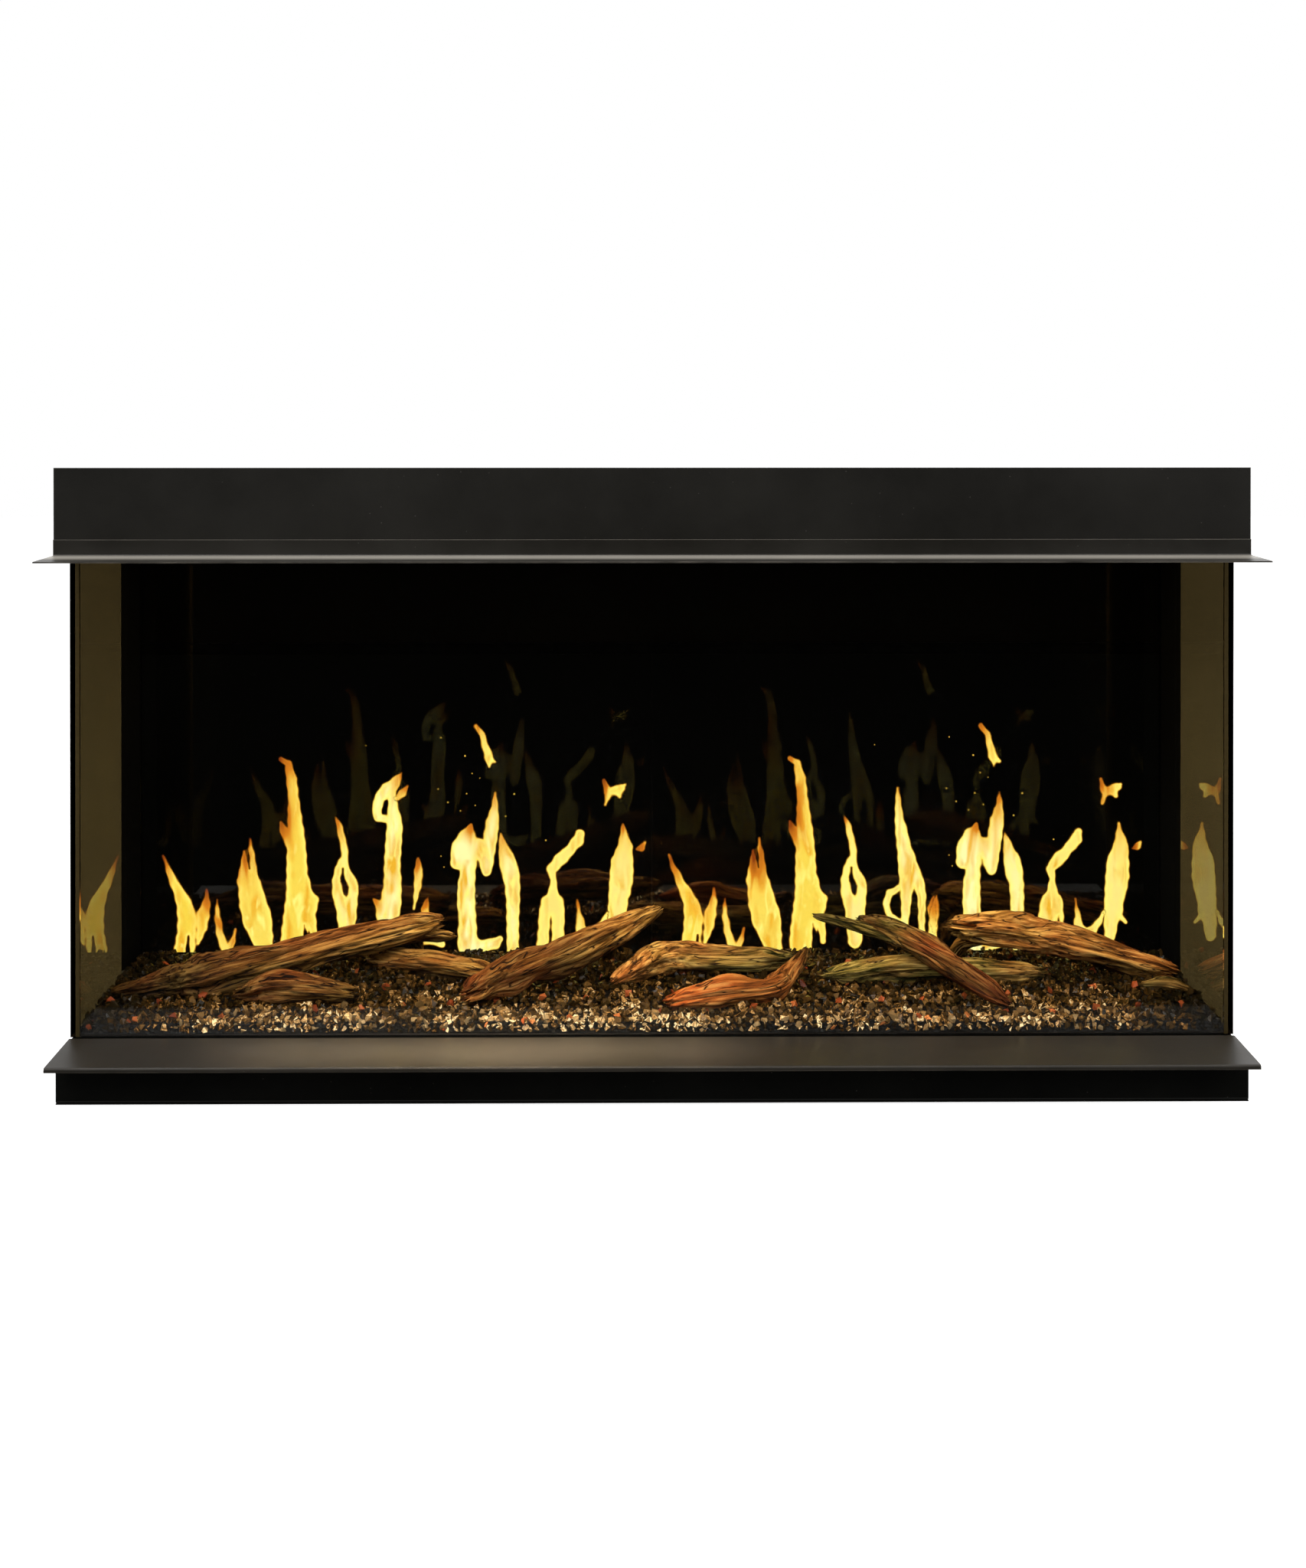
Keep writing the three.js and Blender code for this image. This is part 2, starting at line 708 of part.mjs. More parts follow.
function restOn(upper, lower) {
  let clear = logRise;
  let touching = -logRise;
  while (clear - touching > restStep) {
    const middle = (clear + touching) / 2;
    if (upper.translate(0, 0, middle).intersect(lower).isEmpty()) clear = middle;
    else touching = middle;
  }
  return upper.translate(0, 0, clear + seat);
}

const driftwood = [
  {
    name: 'log_short_left',
    wood: paleWood,
    branches: [
      {
        twist: 2.1,
        rings: 9,
        shares: [[-0.74, 0.29, 0, 0.6], [-0.66, 0.28, 0.02, 0.9], [-0.55, 0.27, 0, 0.66]],
      },
    ],
  },
  {
    name: 'log_left_rear',
    wood: paleWood,
    branches: [
      {
        twist: 3.4,
        rings: 10,
        shares: [[-0.3, 0.56, 0, 0.58], [-0.41, 0.65, 0.02, 0.76], [-0.53, 0.8, 0, 0.56]],
      },
    ],
  },
  {
    name: 'log_long_left',
    wood: paleWood,
    branches: [
      {
        twist: 1.2,
        rings: 22,
        shares: [
          [-0.975, 0.36, 0, 0.34],
          [-0.88, 0.38, 0.02, 0.86],
          [-0.8, 0.42, 0.02, 1.2],
          [-0.62, 0.62, 0.28, 0.98],
          [-0.42, 0.82, 0.56, 0.74],
        ],
      },
      {
        twist: 2.9,
        rings: 6,
        shares: [[-0.52, 0.74, 0.38, 0.5], [-0.44, 0.79, 0.45, 0.44], [-0.385, 0.81, 0.44, 0.32]],
      },
      {
        twist: 0.7,
        rings: 6,
        shares: [[-0.47, 0.8, 0.5, 0.45], [-0.455, 0.86, 0.25, 0.4], [-0.45, 0.9, 0, 0.36]],
      },
    ],
  },
  {
    name: 'log_centre',
    wood: greenWood,
    branches: [
      {
        twist: 2.7,
        rings: 14,
        shares: [
          [-0.065, 0.47, 0, 0.5],
          [0.012, 0.66, 0, 1.05],
          [0.1, 0.68, 0.02, 0.9],
          [0.24, 0.67, 0, 0.84],
        ],
      },
    ],
  },
  {
    name: 'log_mid_left',
    wood: paleWood,
    branches: [
      {
        twist: 4.2,
        rings: 18,
        shares: [
          [-0.32, 0.24, 0, 0.86],
          [-0.24, 0.34, 0.16, 1.1],
          [-0.13, 0.5, 0.4, 1],
          [0.005, 0.76, 0.86, 0.56],
        ],
      },
      {
        twist: 0.9,
        rings: 6,
        shares: [[-0.07, 0.64, 0.56, 0.5], [-0.08, 0.78, 0.28, 0.42], [-0.085, 0.86, 0, 0.4]],
      },
    ],
  },
  {
    name: 'log_red_front',
    wood: redWood,
    branches: [
      {
        twist: 5.1,
        rings: 16,
        shares: [
          [0.035, 0.17, 0, 0.56],
          [0.12, 0.2, 0.02, 0.8],
          [0.215, 0.3, 0, 0.74],
          [0.255, 0.43, 0.22, 0.5],
          [0.285, 0.55, 0.5, 0.26],
        ],
      },
    ],
  },
  {
    name: 'log_low_green',
    wood: greenWood,
    branches: [
      {
        twist: 0.8,
        rings: 14,
        shares: [[0.335, 0.52, 0, 0.6], [0.45, 0.56, 0.03, 0.82], [0.6, 0.56, 0, 0.74], [0.72, 0.56, 0, 0.54]],
      },
    ],
  },
  {
    name: 'log_diagonal',
    wood: redWood,
    over: ['log_low_green'],
    branches: [
      {
        twist: 3.1,
        rings: 16,
        shares: [
          [0.405, 0.86, 0.55, 0.5],
          [0.455, 0.66, 0.52, 0.72],
          [0.53, 0.4, 0.31, 0.76],
          [0.62, 0.12, 0, 0.54],
        ],
      },
      {
        twist: 1.7,
        rings: 10,
        shares: [[0.47, 0.58, 0.48, 0.36], [0.4, 0.76, 0.56, 0.38], [0.318, 0.9, 0.66, 0.22]],
      },
    ],
  },
  {
    name: 'log_big_right',
    wood: paleWood,
    branches: [
      {
        twist: 2.4,
        rings: 20,
        shares: [
          [0.59, 0.76, 0.5, 0.92],
          [0.7, 0.73, 0.38, 1.06],
          [0.8, 0.68, 0.24, 1],
          [0.965, 0.57, 0, 0.64],
        ],
      },
      {
        twist: 0.4,
        rings: 7,
        shares: [[0.64, 0.76, 0.42, 0.5], [0.6, 0.85, 0.22, 0.46], [0.585, 0.89, 0, 0.4]],
      },
    ],
  },
  {
    name: 'log_small_right',
    wood: greenWood,
    branches: [
      {
        twist: 1.9,
        rings: 6,
        shares: [[0.905, 0.42, 0, 0.36], [0.945, 0.4, 0.02, 0.44], [0.978, 0.38, 0, 0.3]],
      },
    ],
  },
];

const bedCutter = crushedGlass.translate(0, 0, seat);
const laid = new Map();
for (const { name, wood, over = [], branches } of driftwood) {
  let log = branches.map(branch).reduce((whole, part) => whole.add(part));
  if (over.length > 0) {
    log = restOn(log, over.map((lower) => laid.get(lower)).reduce((whole, part) => whole.add(part)));
  }
  log = log.subtract(bedCutter);
  laid.set(name, log);
  place(bed, name, surface(log), wood);
}

// Fan heater, in its own frame with the axle on X. The scroll wall grows away from the wheel and becomes the
// front of the outlet; the tongue wall comes close to the wheel and becomes its rear.
const scrollStartAngle = THREE.MathUtils.degToRad(-20);
const scrollSteps = 9;
const throatBottom = -axleDrop;
const throatRear = throatWidth - scrollFront;
const tongueRise = 22;
const tongueReach = 14;
const tongueSpill = 14;

const scrollPath = Array.from({ length: scrollSteps + 1 }, (_, i) => {
  const angle = THREE.MathUtils.lerp(scrollStartAngle, Math.PI / 2, i / scrollSteps);
  const radius = wheelRadius + THREE.MathUtils.lerp(wheelGap, scrollGap, i / scrollSteps);
  return [-radius * Math.sin(angle), radius * Math.cos(angle)];
});
scrollPath.push([-scrollFront, throatBottom]);

function curvedSheet(path, thickness) {
  const outer = path.map(([x, y]) => new THREE.Vector2(x, y));
  const inner = outer.map((point, i) => {
    const before = outer[Math.max(i - 1, 0)];
    const after = outer[Math.min(i + 1, outer.length - 1)];
    const along = after.clone().sub(before).normalize();
    return point.clone().add(new THREE.Vector2(along.y, -along.x).multiplyScalar(thickness));
  });
  return new THREE.Shape([...outer, ...inner.reverse()]);
}

place(heater, 'scroll_wall', alongX(curvedSheet(scrollPath, wallSheet), -scrollHalf, scrollHalf), galvanised);

const tonguePath = [
  [throatRear, throatBottom],
  [throatRear, throatBottom + tongueRise],
  [tongueReach, -wheelRadius],
  [tongueReach + tongueSpill, -wheelRadius],
];
const tongue = folded([...tonguePath].reverse(), wallSheet);
place(heater, 'tongue_wall', alongX(tongue, -scrollHalf, scrollHalf), galvanised);

// End plates of the scroll, each with a bush round the wheel's stub axle
const axleRadius = 3;
const axlePlay = 0.4;
const bushRadius = 7;
const bushLength = 4;
const endSheet = 1.5;
const endMargin = 1.2;
const endOuter = scrollHalf + seat + endSheet;

function disc(radius, x0, x1, steps = roundSteps) {
  const geometry = new THREE.CylinderGeometry(radius, radius, x1 - x0, steps);
  return geometry.rotateZ(Math.PI / 2).translate((x0 + x1) / 2, 0, 0);
}

const endOutline = new THREE.Shape();
endOutline.moveTo(-scrollFront - endMargin, throatBottom);
endOutline.lineTo(-scrollFront - endMargin, 0);
endOutline.absarc(0, 0, scrollFront - seat, Math.PI, Math.PI / 2, true);
endOutline.lineTo(tongueReach + tongueSpill, scrollFront - seat);
endOutline.lineTo(tongueReach + tongueSpill, -wheelRadius - endMargin);
endOutline.lineTo(tongueReach, -wheelRadius - endMargin);
endOutline.lineTo(throatRear + endMargin, throatBottom + tongueRise);
endOutline.lineTo(throatRear + endMargin, throatBottom);

for (const [hand, side] of sides) {
  const plate = alongX(endOutline, ...sidedRange(scrollHalf + seat, endOuter, side));
  const bush = disc(bushRadius, ...sidedRange(scrollHalf + seat + endSheet / 2, endOuter + bushLength, side));
  const boreRange = sidedRange(scrollHalf - overrun, endOuter + bushLength + overrun, side);
  const bore = disc(axleRadius + axlePlay, ...boreRange);
  const end = solid(plate).add(solid(bush)).subtract(solid(bore));
  place(heater, `scroll_${hand}_end`, surface(end), galvanised);
}

// Cross-flow wheel: curved blades between two end discs, with one ring at the middle
const bladeCount = 18;
const bladeInnerRadius = 14.5;
const bladeSheet = 0.9;
const bladeSweep = THREE.MathUtils.degToRad(16);
const bladeInset = 0.4;
const discSheet = 2;
const axleLength = 9;
const wheelHalf = wheelLength / 2;

const bladeLine = [0, 0.5, 1].map((share) => {
  const radius = THREE.MathUtils.lerp(bladeInnerRadius, wheelRadius - bladeInset, share);
  const angle = bladeSweep * share * share;
  return [radius * Math.cos(angle), radius * Math.sin(angle)];
});
const bladeOutline = curvedSheet(bladeLine, bladeSheet);
const blade = alongX(bladeOutline, discSheet / 2 - wheelHalf, wheelHalf - discSheet / 2);
const blades = Array.from({ length: bladeCount }, (_, i) => (
  blade.clone().rotateX(i * Math.PI * 2 / bladeCount)
));
const middleRing = solid(disc(wheelRadius, -discSheet / 2, discSheet / 2, bladeCount))
  .subtract(solid(disc(bladeInnerRadius - bladeSheet, -discSheet, discSheet, bladeCount)));
const wheelParts = [
  disc(wheelRadius, -wheelHalf, discSheet - wheelHalf, bladeCount),
  disc(wheelRadius, wheelHalf - discSheet, wheelHalf, bladeCount),
  disc(axleRadius, -wheelHalf - axleLength, discSheet / 2 - wheelHalf),
  disc(axleRadius, wheelHalf - discSheet / 2, wheelHalf + axleLength),
  ...blades,
];
const wheel = wheelParts.reduce((whole, part) => whole.add(solid(part)), middleRing);
place(heater, 'blower_wheel', surface(wheel), blackPaint);

// Motor beside the scroll, turned on the same axis, with a blind hole for the axle
const motorRadius = 22;
const motorNeck = 12;
const motorLength = 44;
const motorShoulder = 6;
const motorSides = 20;
const motorFrom = endOuter + bushLength + seat;
const axleEnd = wheelHalf + axleLength;
const motorProfile = [
  [0, axleEnd + seat],
  [axleRadius + axlePlay, axleEnd + seat],
  [axleRadius + axlePlay, motorFrom],
  [motorNeck, motorFrom],
  [motorNeck, motorFrom + motorShoulder],
  [motorRadius, motorFrom + motorShoulder],
  [motorRadius, motorFrom + motorLength - motorShoulder],
  [motorNeck, motorFrom + motorLength - motorShoulder],
  [motorNeck, motorFrom + motorLength],
  [0, motorFrom + motorLength],
].map(([radius, length]) => new THREE.Vector2(radius, length));
const motor = new THREE.LatheGeometry(motorProfile, motorSides).rotateZ(-Math.PI / 2);
place(heater, 'blower_motor', motor, galvanised);

// Heating element in the throat: a frame with a row of thin fins for the air to pass
const finCount = 24;
const finPitch = wheelLength / (finCount + 1);
const finSpace = 8.2;
const elementHeight = 14;
const elementRim = 4;
const elementEndGap = 1;
const elementY = [-scrollFront + wallSheet + seat, throatRear - wallSheet - seat];
const elementHalf = scrollHalf - elementEndGap;
const elementFoot = throatBottom + seat;
const finSlots = row(finCount, finPitch).map((x) => block(
  [x - finSpace / 2, x + finSpace / 2],
  [elementY[0] + elementRim, elementY[1] - elementRim],
  [elementFoot - overrun, elementFoot + elementHeight + overrun],
));
const elementFrame = block([-elementHalf, elementHalf], elementY, [elementFoot, elementFoot + elementHeight]);
place(heater, 'heating_element', cut(elementFrame, ...finSlots), lampAluminium);

// Control panel in the soffit: a moulded block with a lip below the strip and pockets for the rocker and
// three keys
const lipSheet = 1.2;
const lipMargin = 3;
const panelRise = 9.5;
const panelPlay = 0.5;
const pocketDepth = 7;
const rockerX = -25;
const rockerLength = 20;
const rockerBreadth = 13;
const rockerThickness = 5;
const rockerPlay = 0.8;
const rockerTilt = THREE.MathUtils.degToRad(8);
const rockerPivot = 1;
const pinRadius = 1.5;
const pinLength = 1.6;
const pinPlay = 0.25;
const keyPlaces = [['flame_key', 0], ['heat_key', 14], ['light_key', 28]];
const keyRadius = 4.5;
const keyFlange = 5.6;
const keyFlangeThickness = 1.5;
const keyProud = 1.8;
const keyPlay = 0.3;
const keyTravel = 1.5;
controls.position.set(panelX, soffitMiddle, localSoffit);

const panelBody = block(
  [-panelLength / 2 + panelPlay, panelLength / 2 - panelPlay],
  [-panelBreadth / 2 + panelPlay, panelBreadth / 2 - panelPlay],
  [-seat - lipSheet / 2, panelRise],
);
const panelLip = block(
  [-panelLength / 2 - lipMargin, panelLength / 2 + lipMargin],
  [-panelBreadth / 2 - lipMargin, panelBreadth / 2 + lipMargin],
  [-seat - lipSheet, -seat],
);
const rockerPocket = block(
  [rockerX - rockerLength / 2 - rockerPlay, rockerX + rockerLength / 2 + rockerPlay],
  [-rockerBreadth / 2 - rockerPlay, rockerBreadth / 2 + rockerPlay],
  [-seat - lipSheet - overrun, pocketDepth],
);

const keyPockets = keyPlaces.flatMap(([, x]) => [
  upright(keyRadius + keyPlay, -seat - lipSheet - overrun, lipSheet).translate(x, 0, 0),
  upright(keyFlange + keyPlay, -seat, pocketDepth).translate(x, 0, 0),
]);

function rockerPin(radius, play) {
  const half = rockerBreadth / 2 + pinLength + play;
  return new THREE.CylinderGeometry(radius, radius, 2 * half, roundSteps).translate(rockerX, 0, rockerPivot);
}

place(controls, 'control_panel', surface(
  [rockerPocket, ...keyPockets, rockerPin(pinRadius + pinPlay, seat)].reduce(
    (body, pocket) => body.subtract(solid(pocket)),
    solid(panelBody).add(solid(panelLip)),
  ),
), blackPlastic);

// The rocker is kept at its off end, tilted about its pin; its outer face is a shallow valley
const rockerValley = 1.2;
const rockerOutline = new THREE.Shape([
  [-rockerLength / 2, -rockerThickness],
  [0, rockerValley - rockerThickness],
  [rockerLength / 2, -rockerThickness],
  [rockerLength / 2, rockerThickness / 2],
  [-rockerLength / 2, rockerThickness / 2],
].map(([x, z]) => new THREE.Vector2(x, z)));
const paddle = alongY(rockerOutline, -rockerBreadth / 2, rockerBreadth / 2);
const pin = new THREE.CylinderGeometry(pinRadius, pinRadius, rockerBreadth + 2 * pinLength, roundSteps);
const rocker = place(controls, 'power_rocker', joined(paddle, pin), blackPlastic);
rocker.position.set(rockerX, 0, rockerPivot);
rocker.rotation.y = rockerTilt;

for (const [name, x] of keyPlaces) {
  const stem = upright(keyRadius, -seat - lipSheet - keyProud, keyFlangeThickness / 2);
  const flange = upright(keyFlange, 0, keyFlangeThickness);
  const key = place(controls, name, joined(stem, flange), blackPlastic);
  key.position.x = x;
}

// Control board and power supply on the firebox ceiling
const boardXShare = 0.5;
const supplyXShare = -0.42;
const boardFromFront = 150;
const boardSize = [130, 84];
const boardSheet = 1.6;
const standoffHeight = 8;
const standoffRadius = 3;
const boardInset = 7;
const supplySize = [170, 98];
const supplyHeight = 40;
const supplyChamfer = 3;
const supplyGrooves = 10;
const supplyGroovePitch = 12;
const supplyGrooveBreadth = 4;
const supplyGrooveDepth = 2;

const electronics = new THREE.Group();
electronics.position.set(0, headerFace + boardFromFront, localSoffitTop + seat);
header.add(electronics);

// Each component is a block on the board: its place as shares of the board's half sizes, and its size as
// shares of the longest component's length
const longestPart = 48;
const boardParts = [
  { placeShares: [-0.6, 0.35], sizeShares: [0.58, 0.54, 0.46] },
  { placeShares: [0.1, 0.55], sizeShares: [0.42, 0.31, 0.33] },
  { placeShares: [0.55, 0.55], sizeShares: [0.42, 0.31, 0.33] },
  { placeShares: [-0.55, -0.55], sizeShares: [0.75, 0.25, 0.23] },
  { placeShares: [0.35, -0.7], sizeShares: [1, 0.19, 0.19] },
  { placeShares: [0.1, -0.1], sizeShares: [0.29, 0.29, 0.06] },
];
const capacitorPlaceShares = [[-0.1, -0.45], [0.6, -0.1], [0.82, -0.1]];
const capacitorRadius = 5;
const capacitorHeight = 18;
const capacitorSides = 12;
const standoffSides = 6;
const boardTop = standoffHeight + boardSheet;
const [boardHalfX, boardHalfY] = [boardSize[0] / 2, boardSize[1] / 2];
const boardPieces = [
  block([-boardHalfX, boardHalfX], [-boardHalfY, boardHalfY], [standoffHeight, boardTop]),
  ...boardParts.map(({ placeShares: [x, y], sizeShares }) => {
    const [dx, dy, dz] = sizeShares.map((share) => share * longestPart);
    return block(
      [x * boardHalfX - dx / 2, x * boardHalfX + dx / 2],
      [y * boardHalfY - dy / 2, y * boardHalfY + dy / 2],
      [boardTop - boardSheet / 2, boardTop + dz],
    );
  }),
  ...capacitorPlaceShares.map(([x, y]) => (
    upright(capacitorRadius, boardTop - boardSheet / 2, boardTop + capacitorHeight, capacitorSides)
      .translate(x * boardHalfX, y * boardHalfY, 0)
  )),
  ...[[-1, -1], [1, -1], [1, 1], [-1, 1]].map(([x, y]) => (
    upright(standoffRadius, 0, standoffHeight + boardSheet / 2, standoffSides)
      .translate(x * (boardHalfX - boardInset), y * (boardHalfY - boardInset), 0)
  )),
];
const controlBoard = place(electronics, 'control_board', joined(...boardPieces), circuitBoard);
controlBoard.position.x = boardXShare * halfWidth;

const supplyHalf = supplySize[1] / 2;
const supplyOutline = new THREE.Shape([
  [-supplyHalf, 0],
  [supplyHalf, 0],
  [supplyHalf, supplyHeight - supplyChamfer],
  [supplyHalf - supplyChamfer, supplyHeight],
  [supplyChamfer - supplyHalf, supplyHeight],
  [-supplyHalf, supplyHeight - supplyChamfer],
].map(([y, z]) => new THREE.Vector2(y, z)));
const supplyGroove = row(supplyGrooves, supplyGroovePitch).map((x) => block(
  [x - supplyGrooveBreadth / 2, x + supplyGrooveBreadth / 2],
  [-supplyHalf / 2, supplyHalf / 2],
  [supplyHeight - supplyGrooveDepth, supplyHeight + overrun],
));
const powerSupply = place(electronics, 'power_supply',
  cut(alongX(supplyOutline, -supplySize[0] / 2, supplySize[0] / 2), ...supplyGroove), galvanised);
powerSupply.position.x = supplyXShare * halfWidth;

// Light bar under the firebox ceiling that lights the logs from above
const topBarHeight = 9;
const topBarBreadth = 22;
const topBarWaist = 14;
const topBarFromGlass = 70;
const topBarY = glassFace + topBarFromGlass;
const topBarTop = localSoffit - seat;
const topBarOutline = new THREE.Shape([
  [topBarY - topBarBreadth / 2, topBarTop],
  [topBarY - topBarWaist / 2, topBarTop - topBarHeight],
  [topBarY + topBarWaist / 2, topBarTop - topBarHeight],
  [topBarY + topBarBreadth / 2, topBarTop],
].map(([y, z]) => new THREE.Vector2(y, z)));
place(header, 'header_light_bar', joined(
  alongX(topBarOutline, -lightBarHalf, lightBarHalf),
  ...lamps(topBarY, topBarTop - topBarHeight, -1),
), lampAluminium);

// Cable gland
const glandPieces = [
  upright(glandFlange, seat, seat + glandFlangeHeight, glandFlangeSides),
  upright(glandDome, glandFlangeHeight, glandFlangeHeight + glandDomeHeight, glandSides),
  upright(glandSleeve, -glandTail, glandFlangeHeight, glandSides),
];
const glandBoreCut = upright(glandBore, -glandTail - overrun, glandFlangeHeight + glandDomeHeight + overrun);
const gland = cut(joined(...glandPieces), glandBoreCut);
place(header, 'cable_gland', gland, blackPlastic).position.set(glandX, glandY, localCover);

export default fireplace;
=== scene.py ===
import math
import random

import bmesh
import bpy
import numpy as np
from mathutils import Matrix, Vector, noise


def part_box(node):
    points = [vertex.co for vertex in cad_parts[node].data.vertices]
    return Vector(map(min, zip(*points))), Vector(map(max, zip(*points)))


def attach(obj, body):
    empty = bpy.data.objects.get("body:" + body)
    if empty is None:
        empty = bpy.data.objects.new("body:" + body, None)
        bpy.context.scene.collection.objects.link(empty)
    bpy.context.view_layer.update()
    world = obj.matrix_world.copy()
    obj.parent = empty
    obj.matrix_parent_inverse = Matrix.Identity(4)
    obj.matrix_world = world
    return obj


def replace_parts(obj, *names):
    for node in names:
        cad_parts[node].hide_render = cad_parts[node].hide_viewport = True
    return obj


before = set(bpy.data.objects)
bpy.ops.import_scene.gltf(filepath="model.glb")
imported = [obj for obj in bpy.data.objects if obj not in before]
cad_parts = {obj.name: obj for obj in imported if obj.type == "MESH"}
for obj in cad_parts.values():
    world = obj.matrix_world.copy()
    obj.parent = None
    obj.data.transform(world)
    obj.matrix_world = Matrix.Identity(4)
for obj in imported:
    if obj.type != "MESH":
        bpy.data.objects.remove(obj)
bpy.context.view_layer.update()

# Camera: it stands two metres ahead of the glass, a little above the header, and looks straight in.
# The picture reaches further down than up, so the lens is shifted.
eye = Vector((-0.0156, -2.084, 0.8002))
look_right = math.radians(0.439)
look_down = math.radians(0.209)
camera = bpy.data.objects.new("camera", bpy.data.cameras.new("camera"))
camera.data.sensor_width = 36.0
camera.data.lens = 40.48
camera.data.shift_y = -0.2534
camera.location = eye
camera.rotation_euler = (math.pi / 2 - look_down, 0.0, -look_right)
bpy.context.scene.collection.objects.link(camera)
bpy.context.scene.camera = camera
bpy.context.scene.view_settings.view_transform = "Standard"


# Sheet-metal casing: pan, rails, ends, posts and header are folded from steel sheet and powder
# coated black. The coat has a fine grain, a soft cloudy tone, dust specks and edges rubbed bare.
dust_color = (0.16, 0.15, 0.13)
coat_height = 0.00012


def plug(socket, value):
    """Link a socket to the one that feeds it, or give it a value of its own."""
    if isinstance(value, bpy.types.NodeSocket):
        socket.id_data.links.new(value, socket)
    elif socket.type == "RGBA":
        socket.default_value = (*value, 1.0)
    else:
        socket.default_value = value


def feed(node, **values):
    """Plug a node's inputs by name, with an underscore for each space."""
    for key, value in values.items():
        plug(node.inputs[key.replace("_", " ")], value)


def put(tree, kind, wires=None, **settings):
    """A new node with its settings, and its inputs plugged by name or number."""
    node = tree.nodes.new(kind)
    for key, value in settings.items():
        setattr(node, key, value)
    for key, value in (wires or {}).items():
        plug(node.inputs[key], value)
    return node


def start_material(name, **plain):
    material = bpy.data.materials.new(name)
    material.use_nodes = True
    tree = material.node_tree
    tree.nodes.clear()
    shader = put(tree, "ShaderNodeBsdfPrincipled")
    feed(shader, **plain)
    put(tree, "ShaderNodeOutputMaterial", {"Surface": shader.outputs[0]})
    return material, tree, shader


def start_group(name, numbers, *values):
    """A node group that reads a place and some numbers, and puts out values that change over it."""
    group = bpy.data.node_groups.new(name, "ShaderNodeTree")
    group.interface.new_socket("Place", in_out="INPUT", socket_type="NodeSocketVector")
    for label, number in numbers.items():
        socket = group.interface.new_socket(label, in_out="INPUT", socket_type="NodeSocketFloat")
        socket.default_value = number
    for label in values:
        group.interface.new_socket(label, in_out="OUTPUT", socket_type="NodeSocketFloat")
    return group, put(group, "NodeGroupInput").outputs, put(group, "NodeGroupOutput")


def use(tree, group, **values):
    """A node group placed in a material with values of its own."""
    node = put(tree, "ShaderNodeGroup", node_tree=group)
    feed(node, **values)
    return node.outputs


def place_of(tree):
    return put(tree, "ShaderNodeTexCoord").outputs["Object"]


def noise_of(tree, place, scale, detail=2.0, **more):
    wires = {"Vector": place, "Scale": scale, "Detail": detail, **more}
    return put(tree, "ShaderNodeTexNoise", wires).outputs["Fac"]


def remap(tree, value, low=0.0, high=1.0, to=(0.0, 1.0)):
    """The value, led from the span low to high on to the span to."""
    wires = {"Value": value, "From Min": low, "From Max": high, "To Min": to[0], "To Max": to[1]}
    return put(tree, "ShaderNodeMapRange", wires).outputs["Result"]


def ramp(tree, factor, stops):
    node = put(tree, "ShaderNodeValToRGB", {"Fac": factor})
    while len(node.color_ramp.elements) < len(stops):
        node.color_ramp.elements.new(0.5)
    for element, (position, color) in zip(node.color_ramp.elements, stops):
        element.position = position
        element.color = (*color, 1.0) if isinstance(color, tuple) else (color, color, color, 1.0)
    return node.outputs["Color"]


def blend_colors(tree, factor, first, second, blend_type="MIX"):
    wires = {"Factor": factor, 6: first, 7: second}
    return put(tree, "ShaderNodeMix", wires, data_type="RGBA", blend_type=blend_type).outputs[2]


def maths(tree, operation, first, second=0.5, clamp=False):
    wires = {0: first, 1: second}
    return put(tree, "ShaderNodeMath", wires, operation=operation, use_clamp=clamp).outputs[0]


def bump_of(tree, height, distance, strength):
    wires = {"Height": height, "Distance": distance, "Strength": strength}
    return put(tree, "ShaderNodeBump", wires).outputs[0]


# Edge wear: a mask that is 1 along convex edges, broken up by a coarse noise
edge_wear, ins, outs = start_group("edge_wear", {"Reach": 0.0012, "Breakup": 30.0, "Amount": 1.0}, "Wear")
rounded = put(edge_wear, "ShaderNodeBevel", {"Radius": ins["Reach"]}, samples=4).outputs[0]
flat = put(edge_wear, "ShaderNodeNewGeometry").outputs["True Normal"]
alike = put(edge_wear, "ShaderNodeVectorMath", {0: rounded, 1: flat}, operation="DOT_PRODUCT")
unlike = maths(edge_wear, "SUBTRACT", 1.0, alike.outputs["Value"])
turned = maths(edge_wear, "MULTIPLY", unlike, 9.0, clamp=True)
patchy = noise_of(edge_wear, ins["Place"], ins["Breakup"], 4.0)
broken = put(edge_wear, "ShaderNodeMath", {0: patchy, 1: 1.6, 2: -0.25}, operation="MULTIPLY_ADD")
worn = maths(edge_wear, "MULTIPLY", turned, broken.outputs[0], clamp=True)
feed(outs, Wear=maths(edge_wear, "MULTIPLY", worn, ins["Amount"], clamp=True))

# Coat grain: the fine orange-peel height of sprayed powder, and a slow cloudy tone
coat_grain, ins, outs = start_group("coat_grain", {"Grain": 900.0, "Cloud": 5.0}, "Height", "Tone")
peel = noise_of(coat_grain, ins["Place"], ins["Grain"])
clouds = noise_of(coat_grain, ins["Place"], ins["Cloud"], 5.0, Roughness=0.6)
feed(outs, Height=peel, Tone=remap(coat_grain, clouds, 0.35, 0.68))

